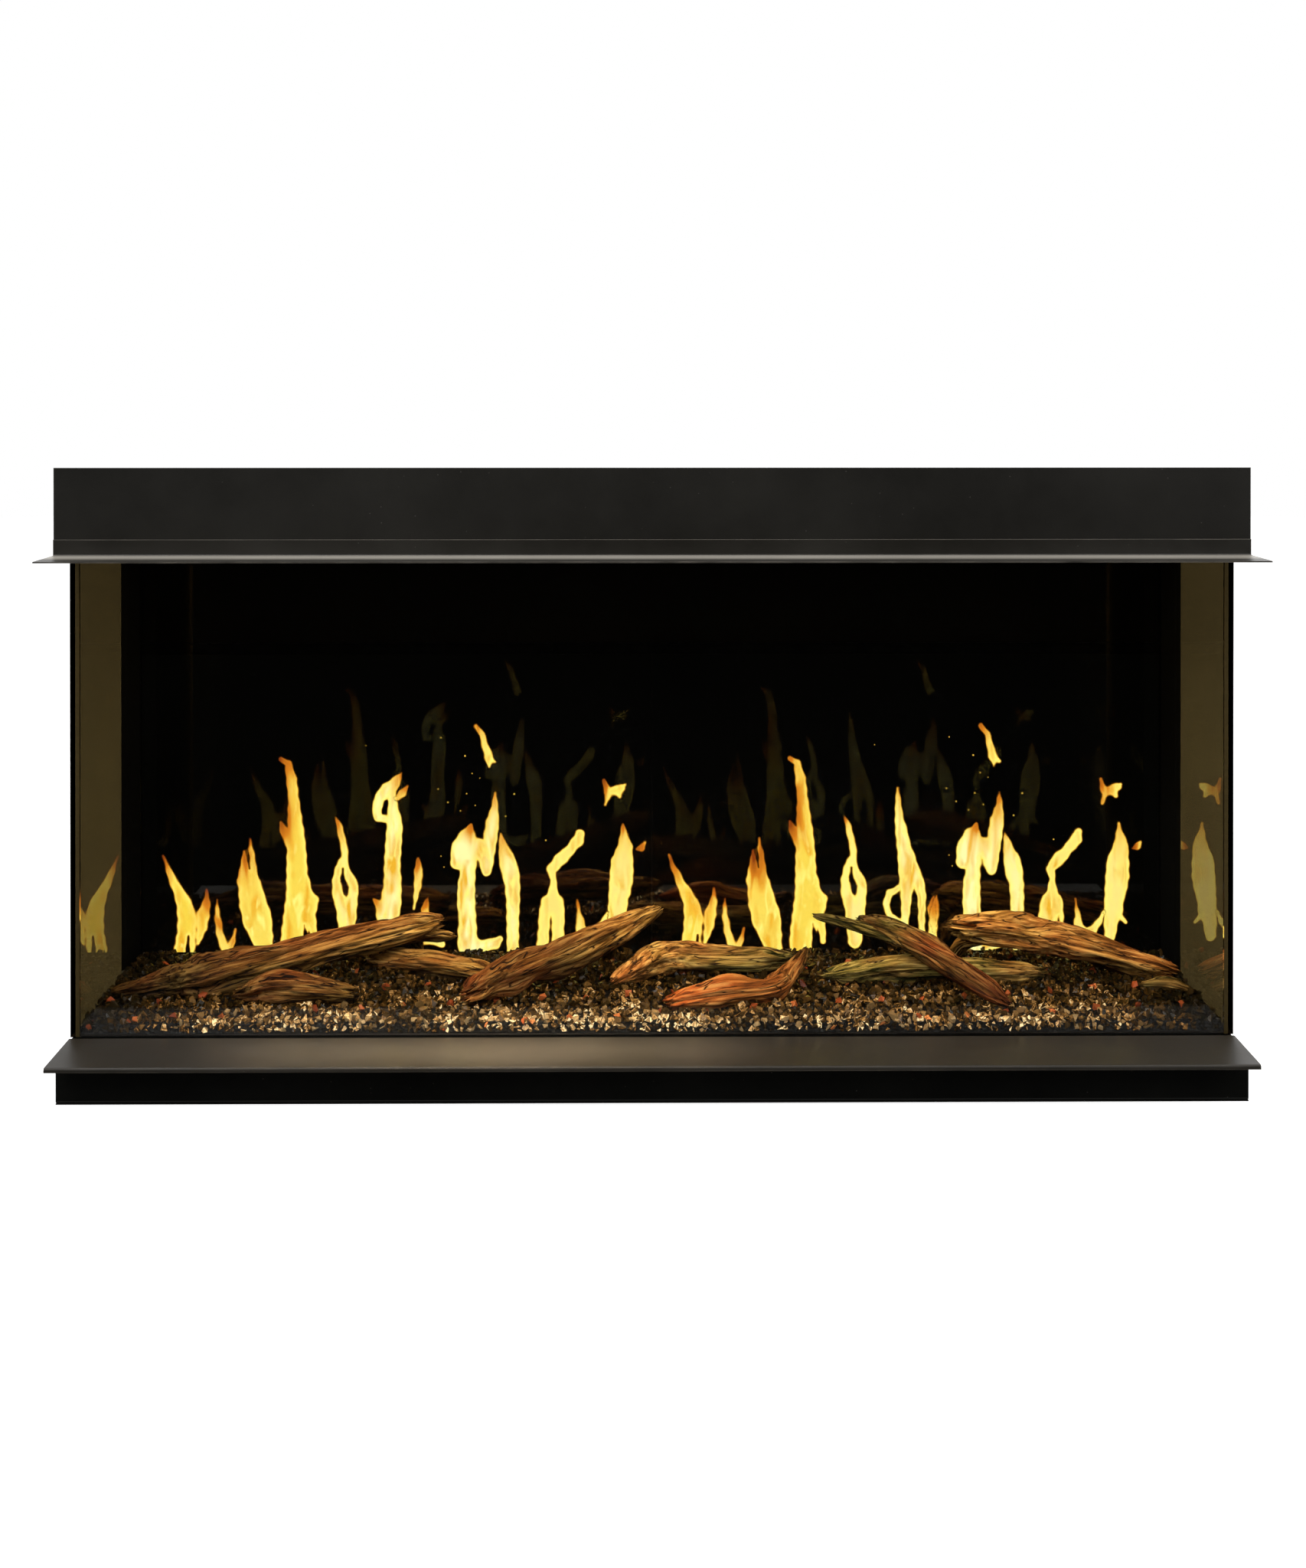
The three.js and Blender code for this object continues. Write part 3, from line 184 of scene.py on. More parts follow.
# Dust: scattered pale specks
dust, ins, outs = start_group("dust", {"Specks": 160.0, "Amount": 0.5}, "Mask")
cells = put(dust, "ShaderNodeTexVoronoi", {"Vector": ins["Place"], "Scale": ins["Specks"]}).outputs
near_speck = remap(dust, cells["Distance"], 0.12, 0.02)
chosen = put(dust, "ShaderNodeSeparateColor", {"Color": cells["Color"]}).outputs[0]
rare = maths(dust, "GREATER_THAN", chosen, 0.93)
feed(outs, Mask=maths(dust, "MULTIPLY", maths(dust, "MULTIPLY", near_speck, rare), ins["Amount"]))


def painted(name, color, cloud, rub, roughness, shine, wear=1.0, specks=0.4, painted_highlight=None):
    """A sprayed coat. Where a painted highlight is given, it changes the tone before the wear and the dust.
    """
    material, tree, shader = start_material(name, Specular_IOR_Level=shine)
    place = place_of(tree)
    coat = use(tree, coat_grain, Place=place)
    rubbed = use(tree, edge_wear, Place=place, Amount=wear)["Wear"]
    specked = use(tree, dust, Place=place, Amount=specks)["Mask"]
    toned = blend_colors(tree, coat["Tone"], color, cloud)
    if painted_highlight:
        toned = painted_highlight(tree, place, toned)
    edged = blend_colors(tree, rubbed, toned, rub)
    feed(shader, Base_Color=blend_colors(tree, specked, edged, dust_color),
         Roughness=remap(tree, coat["Tone"], to=(roughness - 0.06, roughness + 0.08)),
         Normal=bump_of(tree, coat["Height"], coat_height, 0.5))
    return material


def dress(material, *names):
    for name in names:
        for material_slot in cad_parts[name].material_slots:
            material_slot.material = material


black_coat = painted("black_powder_coat", (0.0062, 0.0056, 0.0042), (0.0105, 0.0094, 0.0070),
                     rub=(0.055, 0.050, 0.042), roughness=0.48, shine=0.22)
rear_coat = painted("black_rear_coat", (0.0022, 0.0021, 0.0017), (0.0036, 0.0034, 0.0027),
                    rub=(0.03, 0.028, 0.024), roughness=0.55, shine=0.12)
base_coat = painted("black_base_coat", (0.0020, 0.0021, 0.0015), (0.0032, 0.0033, 0.0024),
                    rub=(0.03, 0.028, 0.024), roughness=0.6, shine=0.10, wear=0.7)
matt_black = painted("matt_black_coat", (0.0010, 0.0010, 0.0008), (0.0018, 0.0018, 0.0015),
                     rub=(0.008, 0.008, 0.007), roughness=0.8, shine=0.03, wear=0.2, specks=0.05)
dress(black_coat, "header_fascia", "header_left_end", "header_right_end", "header_cover", "soffit_strip")
dress(rear_coat, "rear_panel")
dress(base_coat, "base_pan", "base_front_rail", "base_left_end", "base_right_end")
dress(matt_black, "left_rear_post", "right_rear_post", "firebox_ceiling")


# Casing screws: pan-head machine screws, each with a recess in its head, hold the cover to the
# header's flanges. They are turned from plated steel and sit on thin washers.
screw_radius = 0.0032
screw_height = 0.0018
screw_pitch = 0.155
screws_along = 9
screw_inset = 0.008
side_screw_inset = 0.0052
side_screw_depths = (0.06, 0.17, 0.28)
cover_low, cover_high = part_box("header_cover")


def grained(name, scale, detail, tones=None, rough=None, bump=None, glow=None, stretch=None, **plain):
    """A plain surface whose colour, roughness, height and glow, where given, follow one fine noise."""
    material, tree, shader = start_material(name, **plain)
    place = place_of(tree)
    if stretch:
        place = put(tree, "ShaderNodeMapping", {"Vector": place, "Scale": stretch}).outputs[0]
    fine = noise_of(tree, place, scale, detail)
    if tones:
        feed(shader, Base_Color=ramp(tree, fine, [(0.3, tones[0]), (0.7, tones[1])]))
    if rough:
        feed(shader, Roughness=remap(tree, fine, to=rough))
    if bump:
        feed(shader, Normal=bump_of(tree, fine, *bump))
    if glow:
        feed(shader, Emission_Color=ramp(tree, fine, [(0.3, glow[0]), (0.7, glow[1])]))
    return material


def new_object(name, maker, material, smooth=False):
    mesh = bpy.data.meshes.new(name)
    maker.to_mesh(mesh)
    maker.free()
    mesh.materials.append(material)
    if smooth:
        mesh.shade_smooth()
    thing = bpy.data.objects.new(name, mesh)
    bpy.context.scene.collection.objects.link(thing)
    return thing


def finished(name, maker, material, smooth=False):
    """A piece that rides on the casing, in the material it is given."""
    piece = new_object(name, maker, material, smooth)
    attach(piece, "casing")
    return piece


def screw_head(maker, x, y):
    """A washer and a pan head on the cover, with the recess sunk into the head's top."""
    washer_middle = Matrix.Translation((x, y, cover_high.z + screw_height * 0.17))
    head_middle = Matrix.Translation((x, y, cover_high.z + screw_height * 0.85))
    bmesh.ops.create_cone(maker, cap_ends=True, segments=16, radius1=screw_radius * 1.5,
                          radius2=screw_radius * 1.45, depth=screw_height * 0.35, matrix=washer_middle)
    head = bmesh.ops.create_cone(maker, cap_ends=True, segments=16, radius1=screw_radius,
                                 radius2=screw_radius * 0.78, depth=screw_height, matrix=head_middle)
    top = max((f for v in head["verts"] for f in v.link_faces), key=lambda f: f.calc_center_median().z)
    bmesh.ops.inset_individual(maker, faces=[top], thickness=screw_radius * 0.42)
    bmesh.ops.translate(maker, verts=list(top.verts), vec=(0, 0, -screw_height * 0.4))


screws = bmesh.new()
for step in range(screws_along):
    across = (step - screws_along // 2) * screw_pitch
    screw_head(screws, across, cover_low.y + screw_inset)
    screw_head(screws, across, cover_high.y - screw_inset)
for side in (-1, 1):
    for deep in side_screw_depths:
        screw_head(screws, side * (cover_high.x - side_screw_inset), cover_low.y + deep)
plated = grained("plated_screw", 700.0, 3.0, rough=(0.22, 0.5), Metallic=1.0, Base_Color=(0.32, 0.31, 0.29))
finished("cover_screws", screws, plated)


# Top trim and ledge: an angle under the header and a strip ahead of the glass, brake-folded from
# thicker sheet and sprayed a dark satin bronze. A bright stripe along the flange's top is a painted
# highlight.
trim_low, trim_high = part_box("top_trim_angle")
# Painted highlight: the light that the flange's upward face catches, as bright tones across its depth
flange_highlight_tones = [(0.0, (0.016, 0.014, 0.011)), (0.26, (0.03, 0.027, 0.022)), (0.50, (0.26, 0.24, 0.205)),
               (0.72, (0.44, 0.41, 0.355)), (1.0, (0.24, 0.22, 0.19))]


def flange_painted_highlight(tree, place, toned):
    """The tone, with a painted highlight: a bright stripe where a face looks up."""
    faces = put(tree, "ShaderNodeNewGeometry").outputs["True Normal"]
    facing_up = put(tree, "ShaderNodeSeparateXYZ", {"Vector": faces}).outputs["Z"]
    deep = put(tree, "ShaderNodeSeparateXYZ", {"Vector": place}).outputs["Y"]
    stripe = ramp(tree, remap(tree, deep, trim_low.y, trim_high.y), flange_highlight_tones)
    return blend_colors(tree, maths(tree, "GREATER_THAN", facing_up, 0.9), toned, stripe)


trim_paint = painted("top_trim_paint", (0.0090, 0.0080, 0.0060), (0.0145, 0.0128, 0.0097),
                     rub=(0.24, 0.215, 0.18), roughness=0.36, shine=0.35, wear=0.9, painted_highlight=flange_painted_highlight)
ledge_paint = painted("ledge_paint", (0.0118, 0.0100, 0.0074), (0.0180, 0.0152, 0.0112),
                      rub=(0.12, 0.105, 0.085), roughness=0.42, shine=0.36, wear=0.7, specks=0.25)
dress(trim_paint, "top_trim_angle")
dress(ledge_paint, "front_ledge")


# Glass: the front pane is clear tempered glass that lifts out; the side panes are bronze tinted and
# stand in folded rests. Soft bronze strips seal the corners.
print_front = 0.0935
print_foot = 0.007
print_thickness = 0.0003


def pane(name, tint, seen_through):
    """Glass that casts a tinted shadow without bending the light."""
    material, tree, shader = start_material(name, Base_Color=tint, Roughness=0.0, Metallic=0.0, IOR=1.5,
                                            Transmission_Weight=1.0)
    lit_through = put(tree, "ShaderNodeBsdfTransparent", {"Color": seen_through}).outputs[0]
    shadow = put(tree, "ShaderNodeLightPath").outputs["Is Shadow Ray"]
    both = put(tree, "ShaderNodeMixShader", {0: shadow, 1: shader.outputs[0], 2: lit_through})
    feed(tree.nodes["Material Output"], Surface=both.outputs[0])
    return material, tree, shader


def upright_sheet(columns, rows, width, height, middle, turn=0.0):
    """A flat grid that stands up facing the front, and is then turned about the vertical."""
    maker = bmesh.new()
    verts = bmesh.ops.create_grid(maker, x_segments=columns, y_segments=rows, size=0.5)["verts"]
    bmesh.ops.scale(maker, verts=verts, vec=(width, height, 1))
    bmesh.ops.rotate(maker, verts=verts, matrix=Matrix.Rotation(math.pi / 2, 3, "X"))
    bmesh.ops.rotate(maker, verts=verts, matrix=Matrix.Rotation(turn, 3, "Z"))
    bmesh.ops.translate(maker, verts=verts, vec=middle)
    return maker


clear_glass, tree, shader = pane("clear_glass", (0.985, 0.99, 0.98), (0.93, 0.94, 0.92))
dress(clear_glass, "front_glass")

# Bronze glass: the tint deepens where the pane is seen more edge on
bronze_glass, tree, shader = pane("bronze_glass", (0.5, 0.4, 0.25), (0.30, 0.24, 0.14))
slant = put(tree, "ShaderNodeLayerWeight", {"Blend": 0.5}).outputs["Facing"]
tinted = blend_colors(tree, remap(tree, slant, 0.05, 0.23), (0.36, 0.29, 0.17), (0.048, 0.0325, 0.0112))
feed(shader, Specular_Tint=(1.0, 0.66, 0.34), Base_Color=tinted)
dress(bronze_glass, "left_side_glass", "right_side_glass")

# Fired black print along each side pane's rear edge, which hides the post behind it
for hand, side in (("left", -1), ("right", 1)):
    pane_low, pane_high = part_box(f"{hand}_side_glass")
    inner_face = pane_low.x if side > 0 else pane_high.x
    foot = pane_low.z + print_foot
    middle = (inner_face - side * print_thickness, (pane_high.y + print_front) / 2, (pane_high.z + foot) / 2)
    band = upright_sheet(4, 40, pane_high.y - print_front, pane_high.z - foot, middle, side * math.pi / 2)
    finished(f"{hand}_glass_print", band, matt_black)

seal_rubber = grained("seal_rubber", 260.0, 4.0, ((0.032, 0.0225, 0.0074), (0.044, 0.0305, 0.0100)),
                      bump=(0.0002, 0.6), Roughness=0.7, Specular_IOR_Level=0.05)
dress(seal_rubber, "left_corner_seal", "right_corner_seal")
dress(matt_black, "front_lower_channel", "front_upper_channel", "left_glass_rest", "right_glass_rest")


# Flame screens: two flat panels in dark zinc rails behind one smoked cover glass. Each shows the
# same film of flames on black, drawn here as thin shapes of light that lie on its picture.
smoked_glass, tree, shader = pane("smoked_cover_glass", (0.80, 0.80, 0.78), (0.5, 0.5, 0.48))
feed(shader, Specular_IOR_Level=1.0, IOR=1.75)
dress(smoked_glass, "display_cover_glass")

gloss_black = grained("screen_frame", 420.0, 3.0, (0.0018, 0.0035), rough=(0.25, 0.4), Specular_IOR_Level=0.3)
dress(gloss_black, "flame_display_left", "flame_display_right")

# Spangle: the crystals of a zinc coat, which each take the light a little differently
spangle, ins, outs = start_group("spangle", {"Crystals": 90.0}, "Tone", "Shine")
warp = put(spangle, "ShaderNodeTexNoise", {"Vector": ins["Place"], "Scale": 40.0, "Detail": 2.0})
moved_by = {0: warp.outputs["Color"], 1: (0.02, 0.02, 0.02)}
moved = put(spangle, "ShaderNodeVectorMath", moved_by, operation="MULTIPLY").outputs[0]
bent = put(spangle, "ShaderNodeVectorMath", {0: ins["Place"], 1: moved}, operation="ADD").outputs[0]
crystals = put(spangle, "ShaderNodeTexVoronoi", {"Vector": bent, "Scale": ins["Crystals"]})
each = put(spangle, "ShaderNodeSeparateColor", {"Color": crystals.outputs["Color"]}).outputs
feed(outs, Tone=each[0], Shine=each[1])


def zinc(name, dark, pale, roughness):
    material, tree, shader = start_material(name, Metallic=0.9)
    crystal = use(tree, spangle, Place=place_of(tree))
    feed(shader, Base_Color=blend_colors(tree, crystal["Tone"], dark, pale),
         Roughness=remap(tree, crystal["Shine"], to=(roughness, roughness + 0.2)))
    return material


dark_zinc = zinc("dark_passivated_zinc", (0.006, 0.006, 0.006), (0.012, 0.012, 0.011), 0.5)
dress(dark_zinc, "display_rail_lower", "display_rail_upper")

# The picture on each screen lies a little behind the panel's front face, and the flames just ahead of it
picture_sink = 0.0004
flame_lift = 0.0002
picture_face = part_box("flame_display_left")[0].y + picture_sink
picture_low = 0.0670
picture_high = 0.4479
picture_half = 0.325
screen_middle = 0.3263

# The film: each flame is a list of strokes, and a stroke is a run of points (across, up, half width).
# All are millimetres, across from the screen's middle and up from the floor.
mm = 0.001
picture_foot = picture_low / mm + 0.5
flame_cell = 1.5
flame_halo = 1.1
flame_margin = 4
slope_probe = 0.3
gentlest_slope = 0.15
furthest_back = 3
film_flames = [
    [[(-299.2, 191.1, 0.9), (-292, 171.3, 3.8), (-282.6, 151, 6.3), (-272.3, 129.1, 10),
      (-268.6, 110.3, 12.5), (-270.1, 91.5, 11.9), (-272.3, 72.7, 13.2), (-273.3, 61.8, 12.5)],
     [(-243.6, 148.4, 0.9), (-243.6, 132.1, 4.4), (-248.3, 114.9, 8.1), (-249.8, 97.7, 6.3),
      (-254.5, 79, 2.5)]],
    [[(-230.2, 134.6, 0.9), (-230.2, 113.3, 3.8), (-227.4, 91.4, 4.7), (-220.2, 72.6, 5.6), (-218, 67, 5)],
     [(-206.7, 97, 0.9), (-209.9, 82, 3.1), (-215.5, 70.1, 5)]],
    [[(-188, 212.7, 0.9), (-187.4, 196.2, 3.8), (-188, 175.8, 8.1), (-188.9, 153.9, 14.4),
      (-184.3, 128.9, 18.2), (-178.6, 106.9, 18.8), (-173.3, 88.1, 15), (-169.6, 70.9, 11.3)],
     [(-196.1, 196.2, 0.9), (-195.2, 179, 5), (-195.2, 160.2, 9.4)]],
    [[(-148.9, 314.4, 2.5), (-139.9, 308.7, 4.4), (-134.9, 288.4, 6.9), (-132.7, 266.5, 6.3),
      (-131.1, 241.4, 9.4), (-129.3, 216.4, 10.7), (-128.6, 191.3, 13.2), (-128, 166.3, 13.8),
      (-124.9, 138.1, 17.6), (-128, 109.9, 18.2), (-131.8, 91.2, 16.9), (-134.9, 75.5, 15)],
     [(-149.3, 233.6, 1.6), (-144.3, 222.7, 5.6), (-135.8, 208.6, 8.1)],
     [(-115.5, 138.1, 9.4), (-108.6, 133.4, 8.1), (-113.9, 116.2, 9.4), (-107.7, 97.4, 5),
      (-105.5, 80, 3.8)]],
    [[(-78.9, 240.7, 0.9), (-73.3, 225.7, 4.1), (-68, 203.7, 4.4), (-67.4, 188.1, 4.7), (-72.4, 174, 6.9),
      (-78, 158.4, 5.3), (-75.5, 138, 7.5), (-67, 120.8, 11.3), (-64.5, 106.7, 11.3), (-64.9, 80, 9.5)],
     [(-70.2, 180.3, 5), (-61.7, 164.6, 6.3), (-55.5, 150.5, 6.3), (-58.6, 128.6, 8.1),
      (-63.6, 112.9, 11.9)]],
    [[(39.2, 137.1, 0.9), (36, 122.1, 5.3), (37.9, 106.4, 4.1), (39.8, 92, 3)]],
    [[(94.9, 230, 1.6), (90.2, 215.9, 10.7), (83, 198.7, 14.4), (78.6, 183.1, 10.7)],
     [(91.8, 203.4, 12.5), (91.1, 173.7, 9.4), (88.6, 153.3, 11.3), (88.6, 131.4, 11.9),
      (90.2, 109.4, 11.3), (89.6, 90.6, 12.5), (90.2, 75, 13.2)],
     [(91.8, 73.4, 11.3), (109, 74.3, 8.1), (125.6, 78, 7.5), (131.8, 83.6, 3.8)],
     [(104.3, 201.8, 10.7), (111.2, 187.7, 8.1), (114.3, 173.6, 6.3)],
     [(125.2, 270.7, 1.3), (124.9, 253.5, 4.4), (122.4, 234.7, 8.8), (119.9, 215.9, 9.4),
      (117.4, 197.1, 8.8), (115.2, 178.3, 8.1), (114.3, 169.5, 5.6)]],
    [[(101.1, 356.9, 2.8), (109, 345.9, 3.4), (113, 331.8, 4.4), (116.8, 317.7, 5.3), (118, 304.2, 1.3)],
     [(117.4, 316.1, 3.8), (125.6, 310.8, 1.9)]],
    [[(132.4, 218.4, 1.3), (135.6, 203.3, 5.6), (140.3, 187.6, 10), (144.3, 172, 11.9), (147.5, 153.2, 10),
      (148.7, 131.2, 8.8), (148.1, 109.3, 8.5), (148.1, 87.4, 8.5), (148.1, 68.6, 7.8)]],
    [[(234.2, 218.8, 5.6), (232.1, 210, 7.5), (220.8, 196.9, 6.9), (208.2, 184.4, 8.5), (197.3, 172.5, 6.3),
      (200.1, 159.3, 3.8), (199.8, 143.7, 6.9), (198.8, 128, 15), (198.2, 112.3, 16.9), (197.6, 96.7, 16.9),
      (196.7, 76.3, 18.2)]],
    [[(231.1, 133.6, 0.9), (233.3, 115.4, 3.1), (236.4, 96.6, 5.6), (245.2, 87.8, 7.5), (255.2, 93.4, 5.6),
      (264, 105.9, 3.8), (269.3, 116.9, 1.6)],
     [(232.7, 106, 3.1), (232.1, 79.3, 3.8)]],
    [[(265, 287.1, 1.6), (268.7, 276.7, 3.8), (270.9, 268.9, 3.8), (267.1, 255.7, 1.9)],
     [(270.9, 272.6, 3.8), (281.3, 273.6, 5.6), (287.5, 277.6, 5), (291.6, 280.8, 1.9)],
     [(282.8, 273.6, 5), (285.3, 265.7, 2.8)]],
    [[(289.7, 230.3, 1.3), (291, 215.5, 5.3), (292.2, 199.9, 10), (288.5, 181.1, 15), (287.5, 162.3, 15.7),
      (285.3, 143.5, 14.4), (281.6, 124.7, 11.3), (279.7, 109, 10), (277.8, 86, 7.5)],
     [(287.5, 127.8, 8.1), (290.7, 112.1, 4.4), (298.5, 103.3, 1.9)]],
    [[(307.3, 198.3, 1.6), (313.5, 200.5, 4.4), (317.9, 206.7, 1.6)]],
]
left_flames = [
    [[(5.5, 296.6, 1.3), (-2.9, 283.5, 7.5), (-12.9, 275, 8.8), (-22.3, 264.7, 7.5), (-26.4, 250.6, 6.5),
      (-24.2, 240, 6), (-17.3, 238.5, 5.5)],
     [(-6.1, 269.4, 5), (-4.8, 247.4, 7.5), (-2.9, 228.7, 10.3), (-4.5, 203.6, 10.7), (-6.1, 178.6, 10.7),
      (-6.1, 153.5, 11.6), (-8.6, 128.5, 13.8), (-12.3, 112.8, 14.4), (-12.3, 90, 12)],
     [(-30.1, 134.8, 1.3), (-21.1, 124.7, 6.3), (-13.9, 112.8, 8.1)]],
    [[(13.3, 279.4, 1.3), (6.5, 270.9, 5), (0.2, 264.7, 3.8)]],
    [[(26.8, 186.9, 1.3), (27.7, 172.2, 5.6), (26.8, 153.4, 5), (23.7, 134.6, 2.8), (21.5, 122.1, 1.3)]],
    [[(25.4, 76.1, 2.5), (41.7, 80.7, 3.8), (57.9, 77.2, 4.4)]],
]
right_flames = [
    [[(-10.6, 276.1, 1.6), (-9.7, 255.7, 4.1), (-7.5, 233.7, 6.3), (-3.4, 208.6, 8.8), (1.3, 183.4, 11.9),
      (3.8, 164.6, 12.5), (1.3, 145.8, 8.1), (0.1, 120.7, 6.3), (-1.2, 101.8, 5), (-1.5, 80, 4)],
     [(7.6, 174, 9.4), (15.8, 156.7, 7.8), (20.8, 139.5, 6.3), (21.4, 120.6, 5), (20.8, 101.8, 4.4),
      (22.7, 76, 3.1)],
     [(-10.3, 147.4, 3.8), (-20, 141.1, 5), (-25.1, 127, 4.4), (-20, 111.9, 4.1), (-10.6, 104.4, 5)]],
    [[(40, 137.8, 1.3), (38.1, 120.6, 5.3), (35.6, 101.8, 5.6), (34.3, 76, 5.6)]],
]
film_paleness = (0.0, 0.25, 0.1, 0.05, 0.55, 0.3, 1.0, 0.3, 0.8, 0.35, 0.5, 0.1, 0.45, 0.2)
left_paleness = (0.9, 0.3, 0.6, 0.6)
right_paleness = (0.8, 0.4)
# The right screen shows the film moved left: at these places, by this much
right_shift = ((-300, -190, -60, 90, 150, 200, 290), (5.0, 0.0, 0.0, 4.0, 5.0, 11.0, 15.0))
dark_slits = [
    [(-268.6, 60.2, 3.1), (-268, 79, 1.9), (-267.3, 88.4, 0.6)],
    [(-191.1, 200.9, 0.6), (-190.5, 185.2, 1.9), (-188.6, 174.2, 0.6)],
    [(-116.1, 70, 4.4), (-118, 94.3, 1.9), (-119.3, 102.1, 0.6)],
    [(-69.5, 174, 0.9), (-69.5, 161.5, 2.8), (-68.9, 148.9, 0.9)],
    [(195.7, 66, 1.9), (196.3, 93.5, 1.6), (197, 112.3, 0.6)],
]
film_sparks = [(87, 318.5, 1.2), (52.5, 276.0, 0.9), (65, 259, 1.0), (89, 270, 0.9), (81, 248, 0.8),
               (150, 269.5, 1.1), (139, 241, 1.0), (190.5, 210, 1.0), (56, 342, 0.9), (96, 296, 0.8),
               (60, 176, 0.8), (100, 255, 0.8), (56, 190, 0.8), (-40, 332, 0.7), (106, 290, 0.7)]


def stroke_depth(xs, zs, stroke):
    """How deep each place lies inside one stroke, and below zero outside it."""
    deepest = np.full(xs.shape, -1e3)
    for (x0, z0, r0), (x1, z1, r1) in zip(stroke, stroke[1:]):
        along_x, along_z = x1 - x0, z1 - z0
        share = ((xs - x0) * along_x + (zs - z0) * along_z) / max(along_x ** 2 + along_z ** 2, 1e-6)
        share = np.clip(share, 0, 1)
        gap = np.hypot(xs - x0 - share * along_x, zs - z0 - share * along_z)
        deepest = np.maximum(deepest, r0 + (r1 - r0) * share - gap)
    return deepest


def flame_depth(xs, zs, strokes):
    """The depth inside all strokes, softly joined, less the dark slits and with a wavering edge."""
    softness = 1.6
    total = sum(np.exp(stroke_depth(xs, zs, stroke) / softness) for stroke in strokes)
    depth = softness * np.log(np.maximum(total, 1e-9))
    for slit in dark_slits:
        depth = np.minimum(depth, -stroke_depth(xs, zs, slit) + 0.2)
    waver = 0.8 * np.sin(xs * 0.31 + zs * 0.17) * np.sin(zs * 0.23 - xs * 0.11)
    return depth + waver + flame_halo


def flame_slope(xs, zs, strokes, step_x, step_z):
    """How fast the depth grows along the step, which is taken both ways."""
    ahead = flame_depth(xs + step_x, zs + step_z, strokes)
    behind = flame_depth(xs - step_x, zs - step_z, strokes)
    return (ahead - behind) / (2 * (step_x + step_z))


def tip_glow(x, z, strokes):
    """How near a place lies to a pointed end of the flame, where it cools."""
    starts = [stroke[0] for stroke in strokes if stroke[0][2] < 3]
    return min(sum(math.exp(-math.hypot(x - x0, (z - z0) * 0.5) / 15) for x0, z0, _ in starts), 1)


def lay_flame(maker, strokes, paleness, layers):
    """A grid over the flame's reach, cut back to the flame and drawn in to its edge."""
    reach = [(x, z, r) for stroke in strokes for x, z, r in stroke]
    low_x = min(x - r for x, _, r in reach) - flame_margin
    high_x = max(x + r for x, _, r in reach) + flame_margin
    low_z = max(min(z - r for _, z, r in reach) - flame_margin, picture_foot)
    high_z = max(z + r for _, z, r in reach) + flame_margin
    columns, rows = int((high_x - low_x) / flame_cell), int((high_z - low_z) / flame_cell)
    grid = bmesh.ops.create_grid(maker, x_segments=columns, y_segments=rows, size=0.5)["verts"]
    bmesh.ops.scale(maker, verts=grid, vec=(high_x - low_x, high_z - low_z, 1))
    bmesh.ops.translate(maker, verts=grid, vec=((low_x + high_x) / 2, (low_z + high_z) / 2, 0))
    xs, zs = np.array([v.co.x for v in grid]), np.array([v.co.y for v in grid])
    depth = flame_depth(xs, zs, strokes)
    slope_x = flame_slope(xs, zs, strokes, slope_probe, 0)
    slope_z = flame_slope(xs, zs, strokes, 0, slope_probe)
    steep = np.maximum(slope_x ** 2 + slope_z ** 2, gentlest_slope)
    back = np.clip(-depth, 0, furthest_back)
    inside = {}
    for vert, d, sx, sz, s, b in zip(grid, depth, slope_x, slope_z, steep, back):
        inside[vert] = d > 0
        vert[layers["flame_depth"]] = max(d, 0.0)
        vert[layers["flame_tip"]] = tip_glow(vert.co.x, vert.co.y, strokes) * (1 - 0.45 * paleness)
        vert[layers["flame_pale"]] = paleness
        if d <= 0:
            vert.co.x += sx / s * b
            vert.co.y = max(vert.co.y + sz / s * b, low_z)
    outside = [v for v in grid if not any(inside[w] for f in v.link_faces for w in f.verts)]
    bmesh.ops.delete(maker, geom=outside, context="VERTS")


def flame_mesh(shapes, palenesses, sparks):
    """All flames and sparks of one screen, stood up and brought from millimetres to metres."""
    maker = bmesh.new()
    layers = {}
    for label in ("flame_depth", "flame_tip", "flame_pale"):
        layers[label] = maker.verts.layers.float.new(label)
    for strokes, paleness in zip(shapes, palenesses):
        lay_flame(maker, strokes, paleness, layers)
    for x, z, r in sparks:
        spark = bmesh.ops.create_circle(maker, cap_ends=True, segments=8, radius=r)["verts"]
        bmesh.ops.translate(maker, verts=spark, vec=(x, z, 0))
        for vert in spark:
            vert[layers["flame_depth"]] = flame_halo + 0.6
    stand_up = Matrix.Rotation(math.pi / 2, 4, "X") @ Matrix.Scale(mm, 4)
    bmesh.ops.transform(maker, matrix=stand_up, verts=maker.verts)
    return maker


def drawn_out(tree, place, share):
    """The place, squeezed so that a pattern on it is drawn out up the flame or along the branch."""
    return put(tree, "ShaderNodeMapping", {"Vector": place, "Scale": (1.0, 1.0, share)}).outputs[0]


def attribute(tree, name, output="Fac"):
    return put(tree, "ShaderNodeAttribute", attribute_name=name).outputs[output]


# Flame light: a faint orange halo, a bright yellow rim, an amber or cream body with soft streaks, and
# tips that cool through orange to a dull red
amber_tones = [(0.0, (0.22, 0.05, 0.004)), (0.13, (0.55, 0.20, 0.02)), (0.23, (0.98, 0.66, 0.085)),
               (0.34, (1.0, 0.86, 0.17)), (0.58, (0.96, 0.75, 0.105)), (1.0, (0.90, 0.64, 0.065))]
cream_tones = [(0.0, (0.22, 0.06, 0.004)), (0.13, (0.60, 0.27, 0.03)), (0.22, (1.0, 0.80, 0.13)),
               (0.38, (1.0, 0.90, 0.26)), (1.0, (1.0, 0.92, 0.40))]
tip_tones = [(0.2, (0.88, 0.42, 0.030)), (0.55, (0.62, 0.19, 0.012)), (0.95, (0.24, 0.045, 0.005))]
halo_fade = [(0.0, 0.0), (0.10, 0.16), (0.16, 0.7), (0.20, 1.0)]
